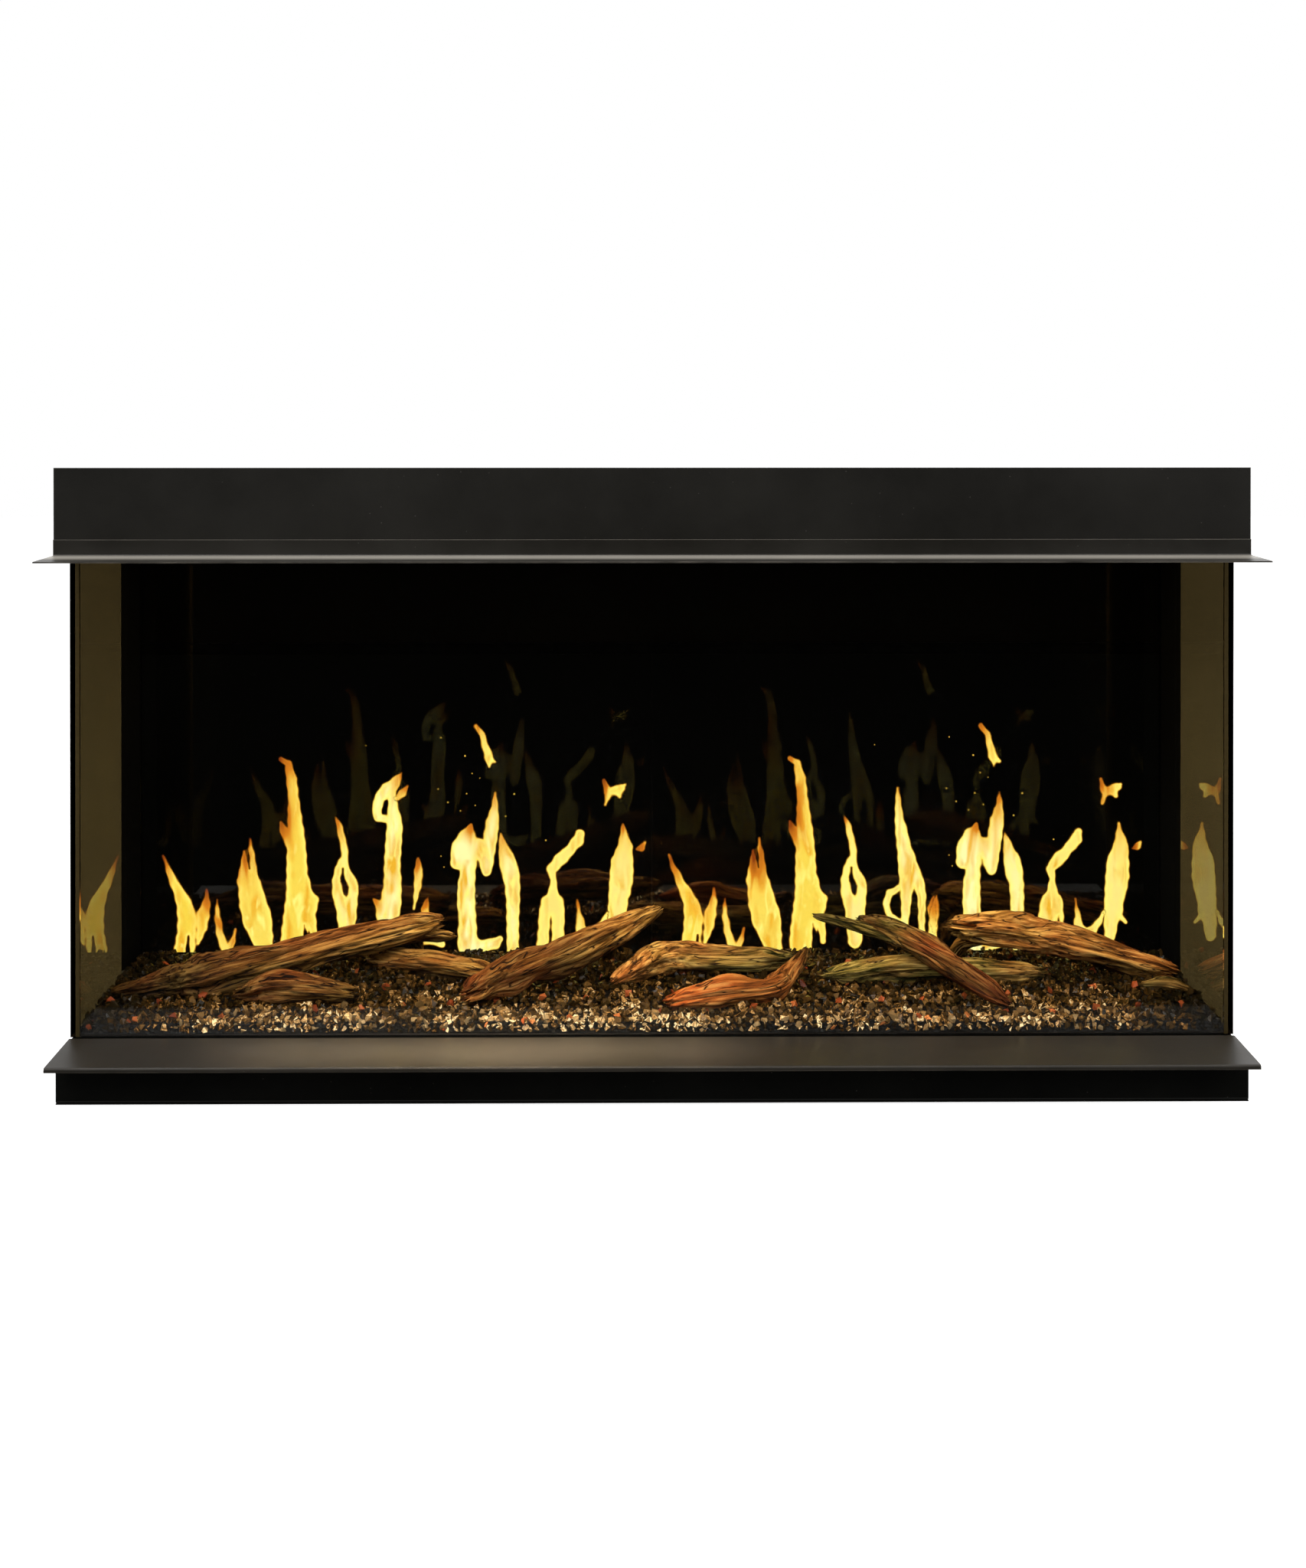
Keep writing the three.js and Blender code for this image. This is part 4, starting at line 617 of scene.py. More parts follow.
flame_light, tree, shader = start_material("flame_light", Roughness=0.6, Specular_IOR_Level=0.0,
                                           Emission_Strength=1.72, Base_Color=(0, 0, 0))
depth = attribute(tree, "flame_depth")
tall = drawn_out(tree, place_of(tree), 0.30)
lick = noise_of(tree, tall, 58.0, 1.5, Distortion=0.8)
drift = noise_of(tree, tall, 95.0, 1.0, Distortion=1.2)
inward = remap(tree, depth, 0.0, 9.0)
deep = remap(tree, depth, 2.2, 6.0)
body = blend_colors(tree, attribute(tree, "flame_pale"), ramp(tree, inward, amber_tones),
                    ramp(tree, inward, cream_tones))
veins = maths(tree, "MULTIPLY", remap(tree, lick, 0.48, 0.70), deep)
streaked = blend_colors(tree, veins, body, (0.84, 0.44, 0.030))
bright = maths(tree, "MULTIPLY", remap(tree, drift, 0.54, 0.74), deep)
lifted = blend_colors(tree, bright, streaked, (1.0, 0.87, 0.20))
cooling = remap(tree, lick, 0.30, 0.62, to=(0.35, 1.15))
cooled = maths(tree, "MULTIPLY", attribute(tree, "flame_tip"), cooling, clamp=True)
feed(shader, Alpha=ramp(tree, inward, halo_fade), Emission_Color=blend_colors(
    tree, remap(tree, cooled, 0.08, 0.48), lifted, ramp(tree, cooled, tip_tones)))

# Picture: the dark glass of the panel, whose black is a faint grey
dark_picture = grained("dark_picture", 3.0, 2.0, (0.0008, 0.0014), Roughness=0.3, Specular_IOR_Level=0.1,
                       glow=((0.0004, 0.0004, 0.0003), (0.0007, 0.0007, 0.0005)), Emission_Strength=1.0)

shifted_flames = [[[(x - float(np.interp(x, *right_shift)), z, r) for x, z, r in stroke]
                   for stroke in strokes] for strokes in film_flames]
for hand, side, shapes, paleness in (("left", -1, film_flames + left_flames, left_paleness),
                                     ("right", 1, shifted_flames + right_flames, right_paleness)):
    flames = flame_mesh(shapes, film_paleness + paleness, film_sparks)
    ahead = (side * screen_middle, picture_face - flame_lift, 0)
    bmesh.ops.translate(flames, verts=flames.verts, vec=ahead)
    finished(f"flames_{hand}", flames, flame_light)
    middle = (side * screen_middle, picture_face, (picture_high + picture_low) / 2)
    picture = upright_sheet(26, 16, 2 * picture_half, picture_high - picture_low, middle)
    finished(f"picture_{hand}", picture, dark_picture)


# Fire bed: a smoked tray on two galvanised rails carries crushed glass, tumbled chips of amber, clear
# and smoke glass with a few brick-red ones. A light bar below lights the front of it; its light and the shade
# beyond are painted into the chips.
bed_low, bed_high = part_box("crushed_glass")
bed_mean = 0.0717
bed_half = bed_high.x
bed_front, bed_rear = bed_low.y, bed_high.y
bed_length = bed_rear - bed_front
heap_height = 0.0024
heap_waves = [(11, 3, 0.6), (23, 2, 1.9), (7, 5, 4.1), (31, 7, 2.7)]
heart_inset = 0.004
heart_depth = 0.0030

# Chips lie one to a step over the whole bed, and in layers along its front edge, where they show
chip_seed = 17
chip_kinds = 16
chip_corners = 9
chip_step = 0.0074
chip_radii = (0.0030, 0.0068)
chip_heights = (-0.0035, 0.0012)
front_layers = 3
front_inset = 0.0045
front_foot = 0.0035
layer_step = 0.0048

# One chip in so many is red, larger and a little higher
red_every = 61
red_first = 7
red_radii = (0.0052, 0.0070)
red_lift = 0.0012

# Painted lamp light: the lamps reach back from the front edge, not quite to the ends, and light the bed in
# patches
lit_end_gap = 0.030
lit_end_fade = 0.11
lit_depth = 0.135
lit_rear_fade = 0.10
lit_edge = 0.010
lit_patches = 38


def heap(x, y):
    """The height of the bed's uneven top, from waves that are counted across, counted back and shifted."""
    across, deep = x / bed_half, (y - bed_front) / bed_length
    total = sum(math.sin(a * across * math.pi + p) * math.cos(d * deep * math.pi + p * a)
                for a, d, p in heap_waves)
    return bed_mean + heap_height * total / len(heap_waves)


chip_draws = random.Random(chip_seed)
chip_shapes = []
for _ in range(chip_kinds):
    shape = bmesh.new()
    for _ in range(chip_corners):
        way = Vector((chip_draws.gauss(0, 1), chip_draws.gauss(0, 1), chip_draws.gauss(0, 0.8))).normalized()
        shape.verts.new(way * chip_draws.uniform(0.75, 1.0))
    hull = bmesh.ops.convex_hull(shape, input=shape.verts)
    spare = {g for g in hull["geom_interior"] + hull["geom_unused"] if isinstance(g, bmesh.types.BMVert)}
    bmesh.ops.delete(shape, geom=list(spare), context="VERTS")
    bmesh.ops.recalc_face_normals(shape, faces=shape.faces)
    chip = bpy.data.meshes.new("chip_shape")
    shape.to_mesh(chip)
    shape.free()
    chip_shapes.append(chip)


def scattered(start, index):
    """A place somewhere within the step that the index counts from the start."""
    return start + chip_step * (index + chip_draws.uniform(0.1, 0.9))


bed_columns = range(int(2 * bed_half / chip_step))
chip_places = []
for row in range(int(bed_length / chip_step)):
    for column in bed_columns:
        x = scattered(-bed_half, column)
        y = scattered(bed_front, row)
        chip_places.append((x, y, heap(x, y) + chip_draws.uniform(*chip_heights)))
for layer in range(front_layers):
    for column in bed_columns:
        x = scattered(-bed_half, column)
        height = bed_low.z + front_foot + layer * layer_step + chip_draws.uniform(0, 0.001)
        chip_places.append((x, bed_front + front_inset, height))


def lie_chip(maker, where):
    """Lays one chip inside the bed's box, turned anyhow, and says how many faces it has."""
    x, y, z, *own_radius = where
    radius = own_radius[0] if own_radius else chip_draws.uniform(*chip_radii)
    x = min(max(x, -bed_half + radius), bed_half - radius)
    y = min(max(y, bed_front + radius), bed_rear - radius)
    z = max(z, bed_low.z + radius)
    about_z = Matrix.Rotation(chip_draws.uniform(0, math.tau), 4, "Z")
    about_x = Matrix.Rotation(chip_draws.uniform(0, math.tau), 4, "X")
    copy = chip_draws.choice(chip_shapes).copy()
    copy.transform(Matrix.Translation((x, y, z)) @ about_z @ about_x @ Matrix.Scale(radius, 4))
    maker.from_mesh(copy)
    faces = len(copy.polygons)
    bpy.data.meshes.remove(copy)
    return faces


def lamp_share(x, y):
    """How far a place lies inside the lamps' field, from 0 at the ends and the rear to 1."""
    from_end = min(max((bed_half - abs(x) - lit_end_gap) / lit_end_fade, 0), 1)
    from_rear = min(max((bed_front + lit_depth - y) / lit_rear_fade, 0), 1)
    return from_end * (0.22 + 0.78 * from_rear)


def chip_piece(name, places, material):
    """Loose chips as one piece, each with a tint of its own darkened as painted shade outside the lamps'
    field, and some facets glowing with painted lamp light.
    """
    maker = bmesh.new()
    counts, painted_lamp_light, tints_and_shade = [], [], []
    for where in places:
        counts.append(lie_chip(maker, where))
        x, y = where[:2]
        # Painted lamp light: each chip's share of the lamps' field, stronger along the front edge, in patches
        share = lamp_share(x, y) * (1.6 if y < bed_front + lit_edge else 1.0)
        patch = 0.45 + 1.15 * noise.noise(Vector((x * lit_patches, y * lit_patches, 0.4)))
        painted_lamp_light.append(share * min(max(patch, 0.10), 1) * (0.12 + 0.88 * chip_draws.random() ** 1.5))
        # Painted shade: the random tint is darker outside the lamps' field
        tints_and_shade.append(chip_draws.random() * (0.45 + 0.55 * share))
    facets = np.random.RandomState(len(places)).rand(sum(counts))
    lit = np.repeat(painted_lamp_light, counts) * np.where(facets > 0.62, 0.55 + facets, 0.45 * facets)
    tint = np.repeat(tints_and_shade, counts)
    piece = finished(name, maker, material)
    for label, values in (("lit", lit), ("tint", tint)):
        layer = piece.data.attributes.new(label, "FLOAT", "FACE")
        layer.data.foreach_set("value", values.astype(np.float32))
    return piece


def chip_glass(name, tints_and_shade, glows, strength):
    """Glass with a tint of each chip's own, whose lit facets glow as painted lamp light."""
    material, tree, shader = start_material(name, Roughness=0.14, Specular_IOR_Level=0.14,
                                            Emission_Strength=strength)
    grit = remap(tree, noise_of(tree, place_of(tree), 380.0), 0.36, 0.62, to=(0.25, 1.25))
    glint = maths(tree, "MULTIPLY", attribute(tree, "lit"), grit)
    feed(shader, Base_Color=ramp(tree, attribute(tree, "tint"), tints_and_shade),
         Emission_Color=ramp(tree, glint, glows))
    return material


amber_chip = chip_glass(
    "amber_and_clear_chip",
    tints_and_shade=[(0.0, (0.0035, 0.0034, 0.0014)), (0.35, (0.015, 0.0095, 0.0030)), (0.6, (0.050, 0.027, 0.008)),
           (0.85, (0.14, 0.080, 0.027)), (1.0, (0.28, 0.19, 0.09))],
    glows=[(0.0, (0.0, 0.0, 0.0)), (0.10, (0.038, 0.015, 0.002)), (0.26, (0.25, 0.112, 0.026)),
           (0.50, (0.60, 0.32, 0.105)), (0.92, (1.0, 0.79, 0.42))],
    strength=1.08)
red_chip = chip_glass(
    "brick_red_chip",
    tints_and_shade=[(0.0, (0.11, 0.022, 0.008)), (0.5, (0.30, 0.065, 0.018)), (1.0, (0.42, 0.14, 0.04))],
    glows=[(0.0, (0.0, 0.0, 0.0)), (0.2, (0.05, 0.010, 0.002)), (0.9, (0.85, 0.26, 0.07))],
    strength=1.0)
red_places = [(x, y, z + red_lift, chip_draws.uniform(*red_radii))
              for x, y, z in chip_places[red_first::red_every]]
plain_places = [where for index, where in enumerate(chip_places) if index % red_every != red_first]
glass_chips = chip_piece("glass_chips", plain_places, amber_chip)
chip_piece("red_chips", red_places, red_chip)
for chip in chip_shapes:
    bpy.data.meshes.remove(chip)
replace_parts(glass_chips, "crushed_glass")

# Heart of the bed: packed small grit under the loose chips
grit_glass, tree, shader = start_material("packed_grit", Roughness=0.5, Specular_IOR_Level=0.3)
grains = put(tree, "ShaderNodeTexVoronoi", {"Vector": place_of(tree), "Scale": 260.0}).outputs["Distance"]
feed(shader, Base_Color=ramp(tree, grains, [(0.1, (0.012, 0.009, 0.006)), (0.6, (0.002, 0.002, 0.002))]),
     Normal=bump_of(tree, grains, 0.002, 0.8))
heart = bmesh.new()
heart_verts = bmesh.ops.create_grid(heart, x_segments=60, y_segments=12, size=0.5)["verts"]
heart_size = (2 * (bed_half - heart_inset), bed_length - 2 * heart_inset, 1)
bmesh.ops.scale(heart, verts=heart_verts, vec=heart_size)
bmesh.ops.translate(heart, verts=heart_verts, vec=(0, (bed_front + bed_rear) / 2, bed_low.z))
raised = bmesh.ops.extrude_face_region(heart, geom=heart.faces[:])["geom"]
for vert in (g for g in raised if isinstance(g, bmesh.types.BMVert)):
    vert.co.z = heap(vert.co.x, vert.co.y) - heart_depth
bmesh.ops.recalc_face_normals(heart, faces=heart.faces)
finished("packed_grit", heart, grit_glass)

smoked_tray = grained("smoked_tray", 30.0, 3.0, ((0.010, 0.008, 0.007), (0.018, 0.015, 0.012)),
                      Roughness=0.3, Specular_IOR_Level=0.4)
dress(smoked_tray, "ember_tray")
galvanised = zinc("galvanised_sheet", (0.20, 0.205, 0.21), (0.33, 0.335, 0.34), 0.32)
dress(galvanised, "tray_rail_front", "tray_rail_rear")
lamp_metal = grained("lamp_aluminium", 700.0, 3.0, (0.36, 0.52), rough=(0.26, 0.44), stretch=(0.04, 1.0, 1.0),
                     Metallic=0.95)
dress(lamp_metal, "ember_light_bar")


# Driftwood logs: weathered branches, split and grooved along the grain, stained brown, brick red and
# olive. Each lies on the chips or over its neighbour, with broken ends and knots.
log_rise = 0.070
log_girth = 0.021
log_press = 0.004
log_flatness = 0.86
log_rests = {"log_diagonal": 0.0042}
broken_length = 0.026
grain_turn = 3.0
branch_sides = 60
ring_step = 0.0030
end_rings = 5
crack_color = (0.020, 0.009, 0.003)
stain_dark = (0.08, 0.018, 0.004)
stain_pale = (0.60, 0.25, 0.07)

# Wood grain: fibres and cracks drawn out along the branch, and broad patches
wood_grain, ins, outs = start_group("wood_grain", {"Fineness": 260.0}, "Fibre", "Crack", "Patch")
fibre = noise_of(wood_grain, drawn_out(wood_grain, ins["Place"], 0.07), ins["Fineness"], 6.0, Roughness=0.65,
                 Distortion=0.4)
check = noise_of(wood_grain, drawn_out(wood_grain, ins["Place"], 0.09), 150.0)
patch = noise_of(wood_grain, drawn_out(wood_grain, ins["Place"], 0.5), 26.0, 3.0)
off_line = maths(wood_grain, "ABSOLUTE", maths(wood_grain, "SUBTRACT", check, 0.5))
feed(outs, Fibre=fibre, Crack=remap(wood_grain, off_line, 0.004, 0.022), Patch=patch)


def driftwood(name, dark, middle, pale, accent):
    """Wood in three tones of its own, with reddish patches, dark cracks, and painted shade in its hollows and
    on its undersides.
    """
    material, tree, shader = start_material(name, Specular_IOR_Level=0.12)
    grain = use(tree, wood_grain, Place=attribute(tree, "grain", "Vector"))
    patchy = maths(tree, "MULTIPLY", maths(tree, "SUBTRACT", grain["Patch"], 0.5), 2.2)
    stained = maths(tree, "ADD", attribute(tree, "stain"), patchy)
    woody = ramp(tree, grain["Fibre"], [(0.38, dark), (0.50, middle), (0.62, pale)])
    reddish = ramp(tree, grain["Fibre"], [(0.38, stain_dark), (0.5, accent), (0.64, stain_pale)])
    accented = blend_colors(tree, maths(tree, "MULTIPLY", stained, 0.9, clamp=True), woody, reddish)
    cracked = blend_colors(tree, grain["Crack"], crack_color, accented)
    # Painted shade: darker in the carved grooves, the middles of the broken ends and the undersides
    shade_factor = remap(tree, attribute(tree, "painted_shade"), 0.1, 0.9, to=(1.0, 0.16))
    shade = maths(tree, "MULTIPLY", shade_factor, attribute(tree, "tone"))
    height = maths(tree, "ADD", grain["Fibre"], grain["Crack"])
    feed(shader, Base_Color=blend_colors(tree, 1.0, cracked, shade, "MULTIPLY"),
         Roughness=remap(tree, grain["Fibre"], to=(0.62, 0.85)), Normal=bump_of(tree, height, 0.0012, 0.9))
    return material


brown_wood = driftwood("brown_driftwood", (0.046, 0.018, 0.002), (0.245, 0.120, 0.023), (0.56, 0.33, 0.090),
                       (0.37, 0.088, 0.018))
red_wood = driftwood("red_driftwood", (0.050, 0.020, 0.003), (0.25, 0.105, 0.020), (0.50, 0.27, 0.075),
                     (0.45, 0.105, 0.020))
olive_wood = driftwood("olive_driftwood", (0.020, 0.025, 0.003), (0.205, 0.148, 0.031), (0.49, 0.37, 0.11),
                       (0.35, 0.088, 0.018))

# Each log: its wood, its tone at one end, the middle and the other end, and its branches as a twist,
# the red stain at both ends, and its course. A course gives shares (across, back, rise, girth): across
# of half the bed's width, back of its length.
logs = {
    "log_short_left": (brown_wood, (0.5, 0.46, 0.45), [
        (2.1, 0.75, 0.2, [(-0.74, 0.29, 0, 0.6), (-0.66, 0.28, 0.02, 0.9), (-0.55, 0.27, 0, 0.66)])]),
    "log_left_rear": (brown_wood, (0.95, 0.85, 0.85), [
        (3.4, 0.45, 0.15, [(-0.3, 0.56, 0, 0.58), (-0.41, 0.65, 0.02, 0.76), (-0.53, 0.8, 0, 0.56)])]),
    "log_long_left": (brown_wood, (0.22, 0.35, 1.15), [
        (1.2, 0.35, 0.2, [(-0.975, 0.36, 0, 0.34), (-0.88, 0.38, 0.02, 0.86), (-0.8, 0.42, 0.02, 1.2),
                          (-0.62, 0.62, 0.28, 0.98), (-0.42, 0.82, 0.56, 0.74)]),
        (2.9, 0.1, 0.0, [(-0.52, 0.74, 0.38, 0.5), (-0.44, 0.79, 0.45, 0.44), (-0.385, 0.81, 0.44, 0.32)]),
        (0.7, 0.0, 0.0, [(-0.47, 0.8, 0.5, 0.45), (-0.455, 0.86, 0.25, 0.4), (-0.45, 0.9, 0, 0.36)])]),
    "log_centre": (olive_wood, (1.3, 1.15, 0.75), [
        (2.7, 0.7, 0.05, [(-0.065, 0.47, 0, 0.5), (0.012, 0.66, 0, 1.05), (0.1, 0.68, 0.02, 0.9),
                          (0.24, 0.67, 0, 0.84)])]),
    "log_mid_left": (brown_wood, (0.62, 0.42, 1.1), [
        (4.2, 0.85, 0.0, [(-0.32, 0.24, 0, 0.86), (-0.24, 0.34, 0.16, 1.1), (-0.13, 0.5, 0.4, 1),
                         (0.005, 0.76, 0.86, 0.56)]),
        (0.9, 0.0, 0.0, [(-0.07, 0.64, 0.56, 0.5), (-0.08, 0.78, 0.28, 0.42), (-0.085, 0.86, 0, 0.4)])]),
    "log_red_front": (red_wood, (1.0, 0.9, 0.4), [
        (5.1, 0.95, 0.0, [(0.035, 0.17, 0, 0.56), (0.12, 0.2, 0.02, 0.8), (0.215, 0.3, 0, 0.74),
                          (0.255, 0.43, 0.22, 0.5), (0.285, 0.55, 0.5, 0.26)])]),
    "log_low_green": (olive_wood, (0.95, 0.9, 0.85), [
        (0.8, 0.0, 0.15, [(0.335, 0.52, 0, 0.6), (0.45, 0.56, 0.03, 0.82), (0.6, 0.56, 0, 0.74),
                          (0.72, 0.56, 0, 0.54)])]),
    "log_diagonal": (olive_wood, (0.24, 0.62, 0.26), [
        (3.1, 0.0, 1.25, [(0.405, 0.86, 0.55, 0.5), (0.455, 0.66, 0.52, 0.72), (0.53, 0.4, 0.31, 0.76),
                          (0.62, 0.12, 0, 0.54)]),
        (1.7, 0.0, 0.0, [(0.47, 0.58, 0.48, 0.36), (0.4, 0.76, 0.56, 0.38), (0.318, 0.9, 0.66, 0.22)])]),
    "log_big_right": (brown_wood, (1.6, 1.1, 1.4), [
        (2.4, 0.05, 0.5, [(0.59, 0.76, 0.5, 0.92), (0.7, 0.73, 0.38, 1.06), (0.8, 0.68, 0.24, 1),
                          (0.965, 0.57, 0, 0.64)]),
        (0.4, 0.0, 0.0, [(0.64, 0.76, 0.42, 0.5), (0.6, 0.85, 0.22, 0.46), (0.585, 0.89, 0, 0.4)])]),
    "log_small_right": (olive_wood, (0.55, 0.55, 0.55), [
        (1.9, 0.2, 0.1, [(0.905, 0.42, 0, 0.36), (0.945, 0.4, 0.02, 0.44), (0.978, 0.38, 0, 0.3)])]),
}


def course(points, share):
    """The place and girth on a smooth curve through the points, a share of the way along it."""
    spans = len(points) - 1
    span = min(int(share * spans), spans - 1)
    t = share * spans - span
    a, b, c, d = (points[min(max(span + k, 0), spans)] for k in (-1, 0, 1, 2))
    return [0.5 * (2 * q + (r - p) * t + (2 * p - 5 * q + 4 * r - s) * t ** 2
                   + (3 * q - p - 3 * r + s) * t ** 3) for p, q, r, s in zip(a, b, c, d)]


def straight_branch(maker, rings):
    """A closed unit cylinder along +Z whose ends are rings of faces drawn in to one point."""
    rows = rings + 2 * end_rings
    sheet = bmesh.ops.create_grid(maker, x_segments=branch_sides, y_segments=rows, size=0.5)["verts"]
    for vert in sheet:
        row = round((vert.co.y + 0.5) * rows)
        angle = (vert.co.x + 0.5) * math.tau
        out = min(row, rows - row, end_rings) / end_rings
        share = min(max(row - end_rings, 0), rings) / rings
        vert.co = (out * math.cos(angle), out * math.sin(angle), share)
    bmesh.ops.remove_doubles(maker, verts=sheet, dist=1e-6)
    return [vert for vert in sheet if vert.is_valid]


def crease(place, width):
    """1 along the thin winding lines where the noise passes zero, and 0 a little way off them."""
    return max(0.0, 1 - abs(noise.noise(place)) / width)


def bearings(points, share):
    """The directions along, across and up, a share of the way along the course."""
    ahead, behind = course(points, min(share + 0.01, 1)), course(points, max(share - 0.01, 0))
    along = (Vector(ahead[:3]) - Vector(behind[:3])).normalized()
    across = Vector((0, 0, 1)).cross(along).normalized()
    return along, across, along.cross(across)


def bark(ring, angle, share, run, twist):
    """The wood's relief at a place, how deep it is carved, its ridge and its fine roughness."""
    groove = math.sin(3 * angle + twist * share * math.pi)
    groove += math.sin(5 * angle - 2 * twist * share + twist)
    knot = math.sin(twist + 9 * share) * math.cos(angle + twist * 3 * share)
    lumps = noise.noise(ring * 1.1 + Vector((twist * 7, 0, run * 26)))
    ridge = noise.noise(ring * 2.9 + Vector((0, twist * 5, run * 10)))
    fine = noise.noise(ring * 8.0 + Vector((twist, 3.0, run * 24)))
    split = crease(ring * 1.8 + Vector((5.0, twist * 3, run * 7)), 0.11)
    thin_split = crease(ring * 4.5 + Vector((twist * 2, 8.0, run * 11)), 0.10)
    carve = 0.30 * split ** 1.4 + 0.12 * thin_split + 0.26 * max(0.0, -ridge)
    relief = 1.04 + 0.08 * groove + 0.13 * knot + 0.26 * lumps + 0.14 * ridge + 0.08 * fine - carve
    return relief, carve, ridge, fine


def grow_branch(maker, layers, twist, stains, tones, shares, rest):
    """Bends a straight branch along its course, and gives it its bark, its broken ends and its stain."""
    points = [(x * bed_half, bed_front + y * bed_length,
               bed_mean + rise * log_rise + girth * log_girth * log_flatness - log_press + rest,
               girth * log_girth) for x, y, rise, girth in shares]
    length = sum((Vector(q[:3]) - Vector(p[:3])).length for p, q in zip(points, points[1:]))
    for vert in straight_branch(maker, max(int(length / ring_step), 8)):
        share = min(max(vert.co.z, 0), 1)
        out = min(vert.co.xy.length, 1.0)
        angle = math.atan2(vert.co.y, vert.co.x)
        *middle, girth = course(points, share)
        along, across, up = bearings(points, share)
        run = share * length
        turn = angle + grain_turn * run
        ring = Vector((math.cos(turn), math.sin(turn), 0))
        relief, carve, ridge, fine = bark(ring, angle, share, run, twist)
        near_end = max(0.0, 1 - min(share, 1 - share) * length / broken_length)
        jag = noise.noise(ring * 2.8 + Vector((9.0, out * 2.0, twist))) + 0.6 * fine
        bulge = math.copysign(1, share - 0.5) * near_end * girth * (0.45 * (1 - out) + 1.1 * jag)
        radius = girth * out * relief * (1 - 0.34 * near_end ** 2)
        vert.co = (Vector(middle) + across * (radius * math.cos(angle))
                   + up * (radius * log_flatness * math.sin(angle)) + along * bulge)
        grown = ring * girth * out
        vert[layers["grain"]] = Vector((grown.x + twist, grown.y, run))
        # Painted shade on the underside, broken up by the ridge noise, joins that of the grooves and broken
        # ends
        underside_shade = 0.75 * max(0.0, 0.1 - math.sin(angle) + 1.1 * ridge)
        painted_shade = 2.7 * carve - 0.32 + 0.5 * near_end * (1 - out) + underside_shade
        vert[layers["painted_shade"]] = min(max(painted_shade, 0), 1)
        vert[layers["stain"]] = stains[0] + (stains[1] - stains[0]) * share
        vert[layers["tone"]] = float(np.interp(share, (0, 0.5, 1), tones))


# The diagonal log lies over the low green one, so it rests a little above its own course. Its wood
# looks olive, and it keeps the red slot of its CAD piece.
for log_name, (wood, tones, branches) in logs.items():
    log_maker = bmesh.new()
    layers = {label: log_maker.verts.layers.float.new(label) for label in ("painted_shade", "stain", "tone")}
    layers["grain"] = log_maker.verts.layers.float_vector.new("grain")
    rest = log_rests.get(log_name, 0.0)
    for twist, stain_from, stain_to, shares in branches:
        grow_branch(log_maker, layers, twist, (stain_from, stain_to), tones, shares, rest)
    bmesh.ops.recalc_face_normals(log_maker, faces=log_maker.faces)
    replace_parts(finished(f"drift_{log_name}", log_maker, wood, smooth=True), log_name)


# Fan heater in the header: a long wheel of curved blades, black anodised, turns inside a scroll of
# galvanised sheet and blows through a plain bright aluminium element.
anodised = grained("black_anodised", 900.0, 3.0, (0.012, 0.026), rough=(0.25, 0.45), stretch=(0.05, 1.0, 1.0),
                   Metallic=0.7)
dress(anodised, "blower_wheel")
dress(galvanised, "scroll_wall", "tongue_wall", "scroll_left_end", "scroll_right_end", "blower_motor")
dress(lamp_metal, "heating_element")


# Controls and lamps: the panel, rocker, keys and gland are moulded from black plastic with a fine
# spark-eroded grain. The board is green lacquered laminate, and the supply a galvanised box.
moulded = grained("moulded_black", 1500.0, 2.0, (0.006, 0.011), rough=(0.42, 0.6), bump=(0.0001, 0.6),
                  Specular_IOR_Level=0.4)
dress(moulded, "control_panel", "power_rocker", "flame_key", "heat_key", "light_key", "cable_gland")

lacquer, tree, shader = start_material("board_lacquer", Roughness=0.3, Specular_IOR_Level=0.5)
tracks = put(tree, "ShaderNodeTexVoronoi", {"Vector": place_of(tree), "Scale": 160.0}, distance="MANHATTAN")
copper = remap(tree, tracks.outputs["Distance"], 0.30, 0.36)
feed(shader, Base_Color=blend_colors(tree, copper, (0.010, 0.060, 0.022), (0.016, 0.095, 0.036)))
dress(lacquer, "control_board")
dress(galvanised, "power_supply")
dress(lamp_metal, "header_light_bar")

# Lamp lenses on the header light bar: small domes of clear resin, glowing warm white
lens_radius = 0.0026
lens_flatness = 0.6
lamp_count = 20
bar_low, bar_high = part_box("header_light_bar")
lamp_pitch = (bar_high.x - bar_low.x) / (lamp_count + 1)
lens_light = grained("lamp_lens", 500.0, 1.0, ((0.7, 0.62, 0.5), (0.82, 0.75, 0.64)), Roughness=0.2,
                     Emission_Strength=2.0, Emission_Color=(1.0, 0.78, 0.5))
lenses = bmesh.new()
for index in range(lamp_count):
    across = (index - (lamp_count - 1) / 2) * lamp_pitch
    dome = bmesh.ops.create_uvsphere(lenses, u_segments=12, v_segments=8, radius=lens_radius)["verts"]
    bmesh.ops.scale(lenses, verts=dome, vec=(1, 1, lens_flatness))
    bmesh.ops.translate(lenses, verts=dome, vec=(across, (bar_low.y + bar_high.y) / 2, bar_low.z))
finished("header_lamp_lenses", lenses, lens_light, smooth=True)


# Floor and light: a pale floor, soft lamps from above and both sides, and a white surround. Black
# cloth that only reflections see hangs where the room was dark, so that the glass stays deep.
floor_radius = 9.0
firebox_middle = (0, 0, 0.35)
cloth_width = 7.0
cloth_near = -0.086
cloth_far = -3.2
cloth_height = 0.004
cloth_lean = 0.4
cloth_rise = 3.2
warm_white = (1.0, 0.74, 0.44)
soft_white = (1.0, 0.86, 0.68)
strip_width = 0.01
header_glow_from = (0, -0.014, 0.594)
header_glow_to = (0, 0.02, 0.0)
ledge_glow_from = (-0.188, -0.13, 0.60)
ledge_glow_to = (-0.188, -0.13, 0.0)
ledge_glow_spread = math.radians(16)


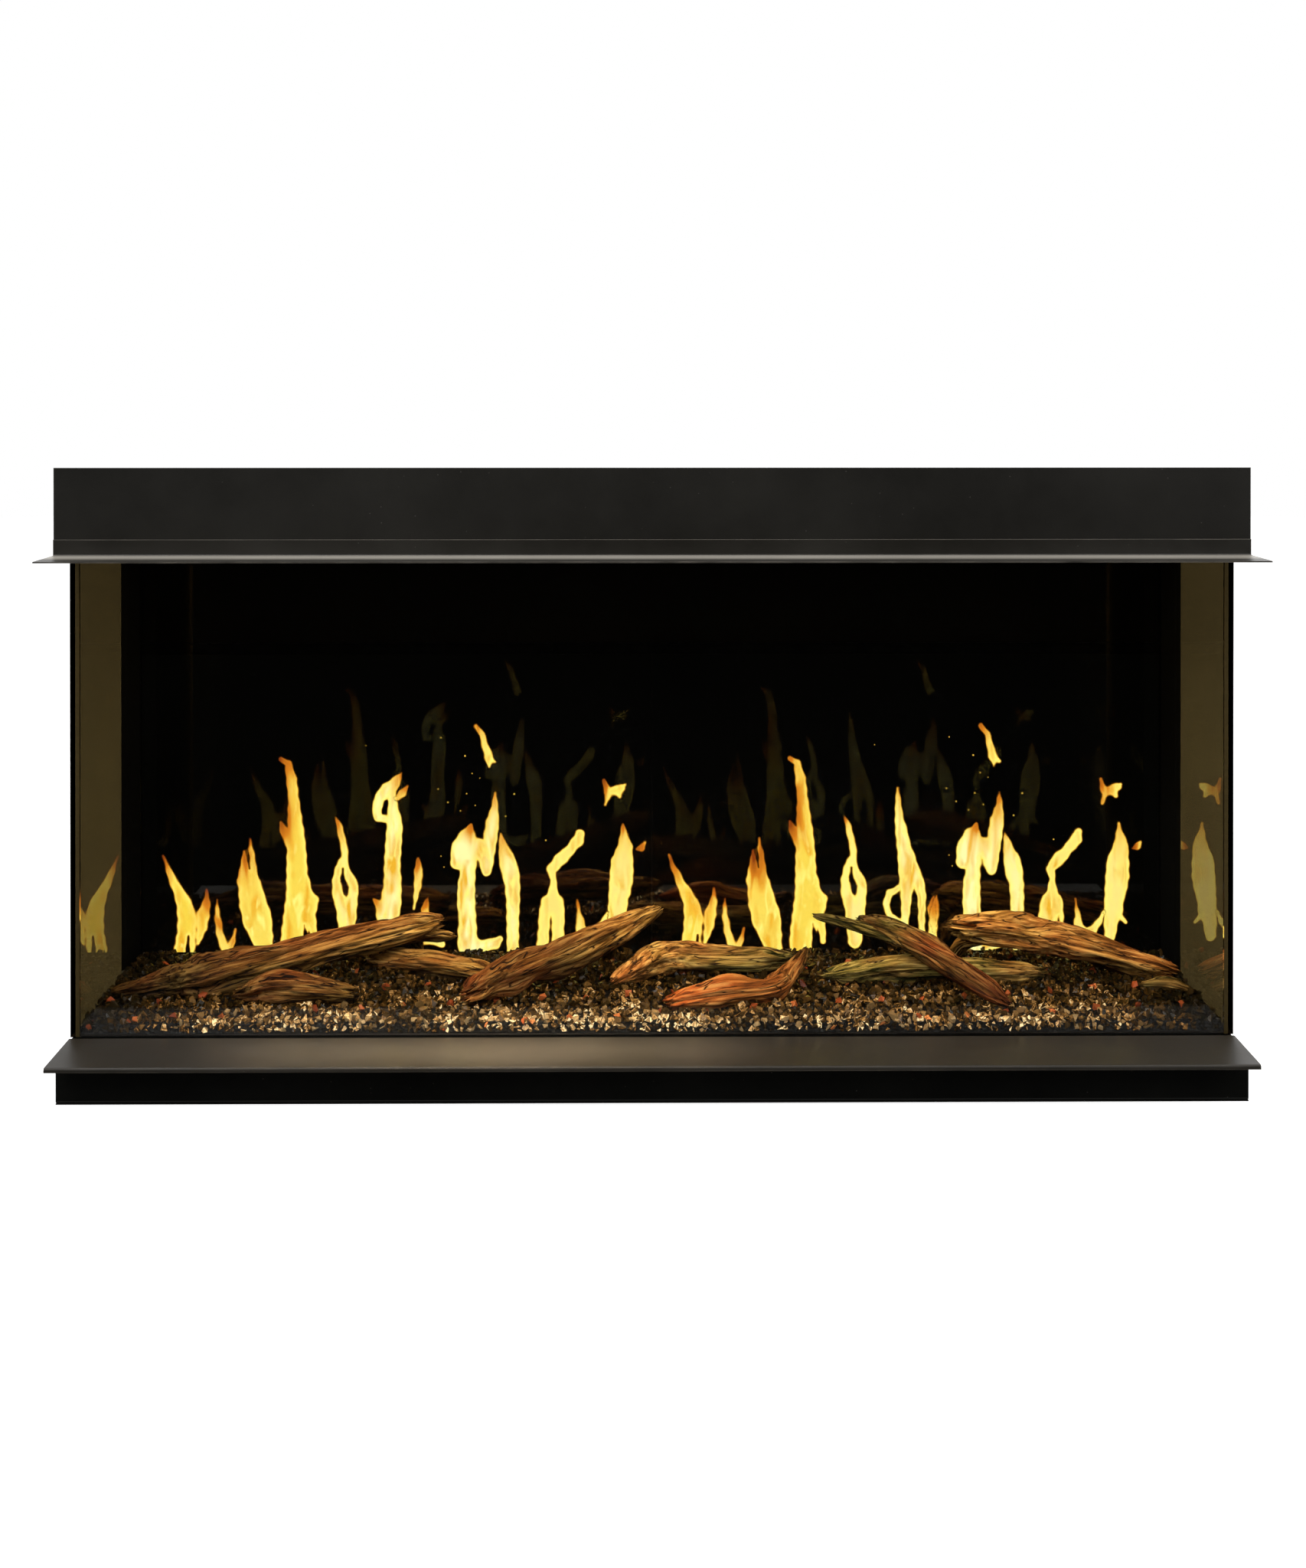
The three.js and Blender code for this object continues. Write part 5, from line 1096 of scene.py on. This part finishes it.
def lamp(name, place, aim, size, power, color=(1, 1, 1), size_y=None):
    """A soft rectangular lamp that faces its aim."""
    light = bpy.data.lights.new(name, "AREA")
    light.shape = "RECTANGLE"
    light.size = size
    light.size_y = size_y or size
    light.energy = power
    light.color = color
    holder = bpy.data.objects.new(name, light)
    holder.location = place
    holder.rotation_euler = (Vector(aim) - Vector(place)).to_track_quat("-Z", "Y").to_euler()
    bpy.context.scene.collection.objects.link(holder)
    return holder


lamp("key_light", (-1.5, -2.4, 2.6), firebox_middle, 1.8, 55)
lamp("fill_light", (1.9, -2.0, 1.9), firebox_middle, 1.8, 26)
lamp("top_light", (0.0, 0.3, 3.0), (0, 0, 0), 2.4, 42)
lamp("rear_light", (0.6, 2.6, 2.0), firebox_middle, 1.8, 30)
glows = [lamp("header_glow", header_glow_from, header_glow_to, 1.2, 6.0, warm_white, strip_width)]
for width, power in ((0.54, 0.74), (0.30, 0.50), (0.12, 0.13)):
    glows.append(lamp("ledge_glow", ledge_glow_from, ledge_glow_to, width, power, soft_white, strip_width))
    glows[-1].data.spread = ledge_glow_spread
for glow in glows:
    glow.visible_camera = False
    glow.visible_glossy = False
    glow.visible_transmission = False

world = bpy.data.worlds.new("surround")
bpy.context.scene.world = world
world.use_nodes = True
tree = world.node_tree
tree.nodes.clear()


def seen_rays(tree):
    """1 for what the eye sees straight, mirrored or through glass, and 0 for what only lights."""
    path = put(tree, "ShaderNodeLightPath").outputs
    seen = maths(tree, "MAXIMUM", path["Is Camera Ray"], path["Is Glossy Ray"])
    return maths(tree, "MAXIMUM", seen, path["Is Transmission Ray"])


surround = blend_colors(tree, seen_rays(tree), (0.42, 0.42, 0.42), (1.0, 1.0, 1.0))
backdrop = put(tree, "ShaderNodeBackground", {"Color": surround}).outputs[0]
put(tree, "ShaderNodeOutputWorld", {"Surface": backdrop})

pale_floor, tree, shader = start_material("pale_floor", Roughness=0.7, Specular_IOR_Level=0.1,
                                          Emission_Color=(1, 1, 1))
weave = noise_of(tree, place_of(tree), 8.0, 4.0)
feed(shader, Base_Color=ramp(tree, weave, [(0.3, 0.78), (0.7, 0.80)]),
     Emission_Strength=maths(tree, "MULTIPLY", seen_rays(tree), 0.70))
floor = bmesh.new()
bmesh.ops.create_circle(floor, cap_ends=True, segments=96, radius=floor_radius)
new_object("floor", floor, pale_floor)

dull_black = grained("black_cloth", 40.0, 2.0, (0.0008, 0.0016), Roughness=1.0, Specular_IOR_Level=0.0)
cloth = bmesh.new()
strip = bmesh.ops.create_grid(cloth, x_segments=1, y_segments=1, size=0.5)["verts"]
bmesh.ops.scale(cloth, verts=strip, vec=(cloth_width, cloth_near - cloth_far, 1))
bmesh.ops.translate(cloth, verts=strip, vec=(0, (cloth_near + cloth_far) / 2, cloth_height))
far_edge = [e for e in cloth.edges if all(v.co.y < cloth_near - 1 for v in e.verts)]
risen = bmesh.ops.extrude_edge_only(cloth, edges=far_edge)["geom"]
upper = [g for g in risen if isinstance(g, bmesh.types.BMVert)]
bmesh.ops.translate(cloth, verts=upper, vec=(0, -cloth_lean, cloth_rise))
hung_cloth = new_object("black_cloth", cloth, dull_black)
hung_cloth.visible_camera = False
hung_cloth.visible_diffuse = False
hung_cloth.visible_shadow = False
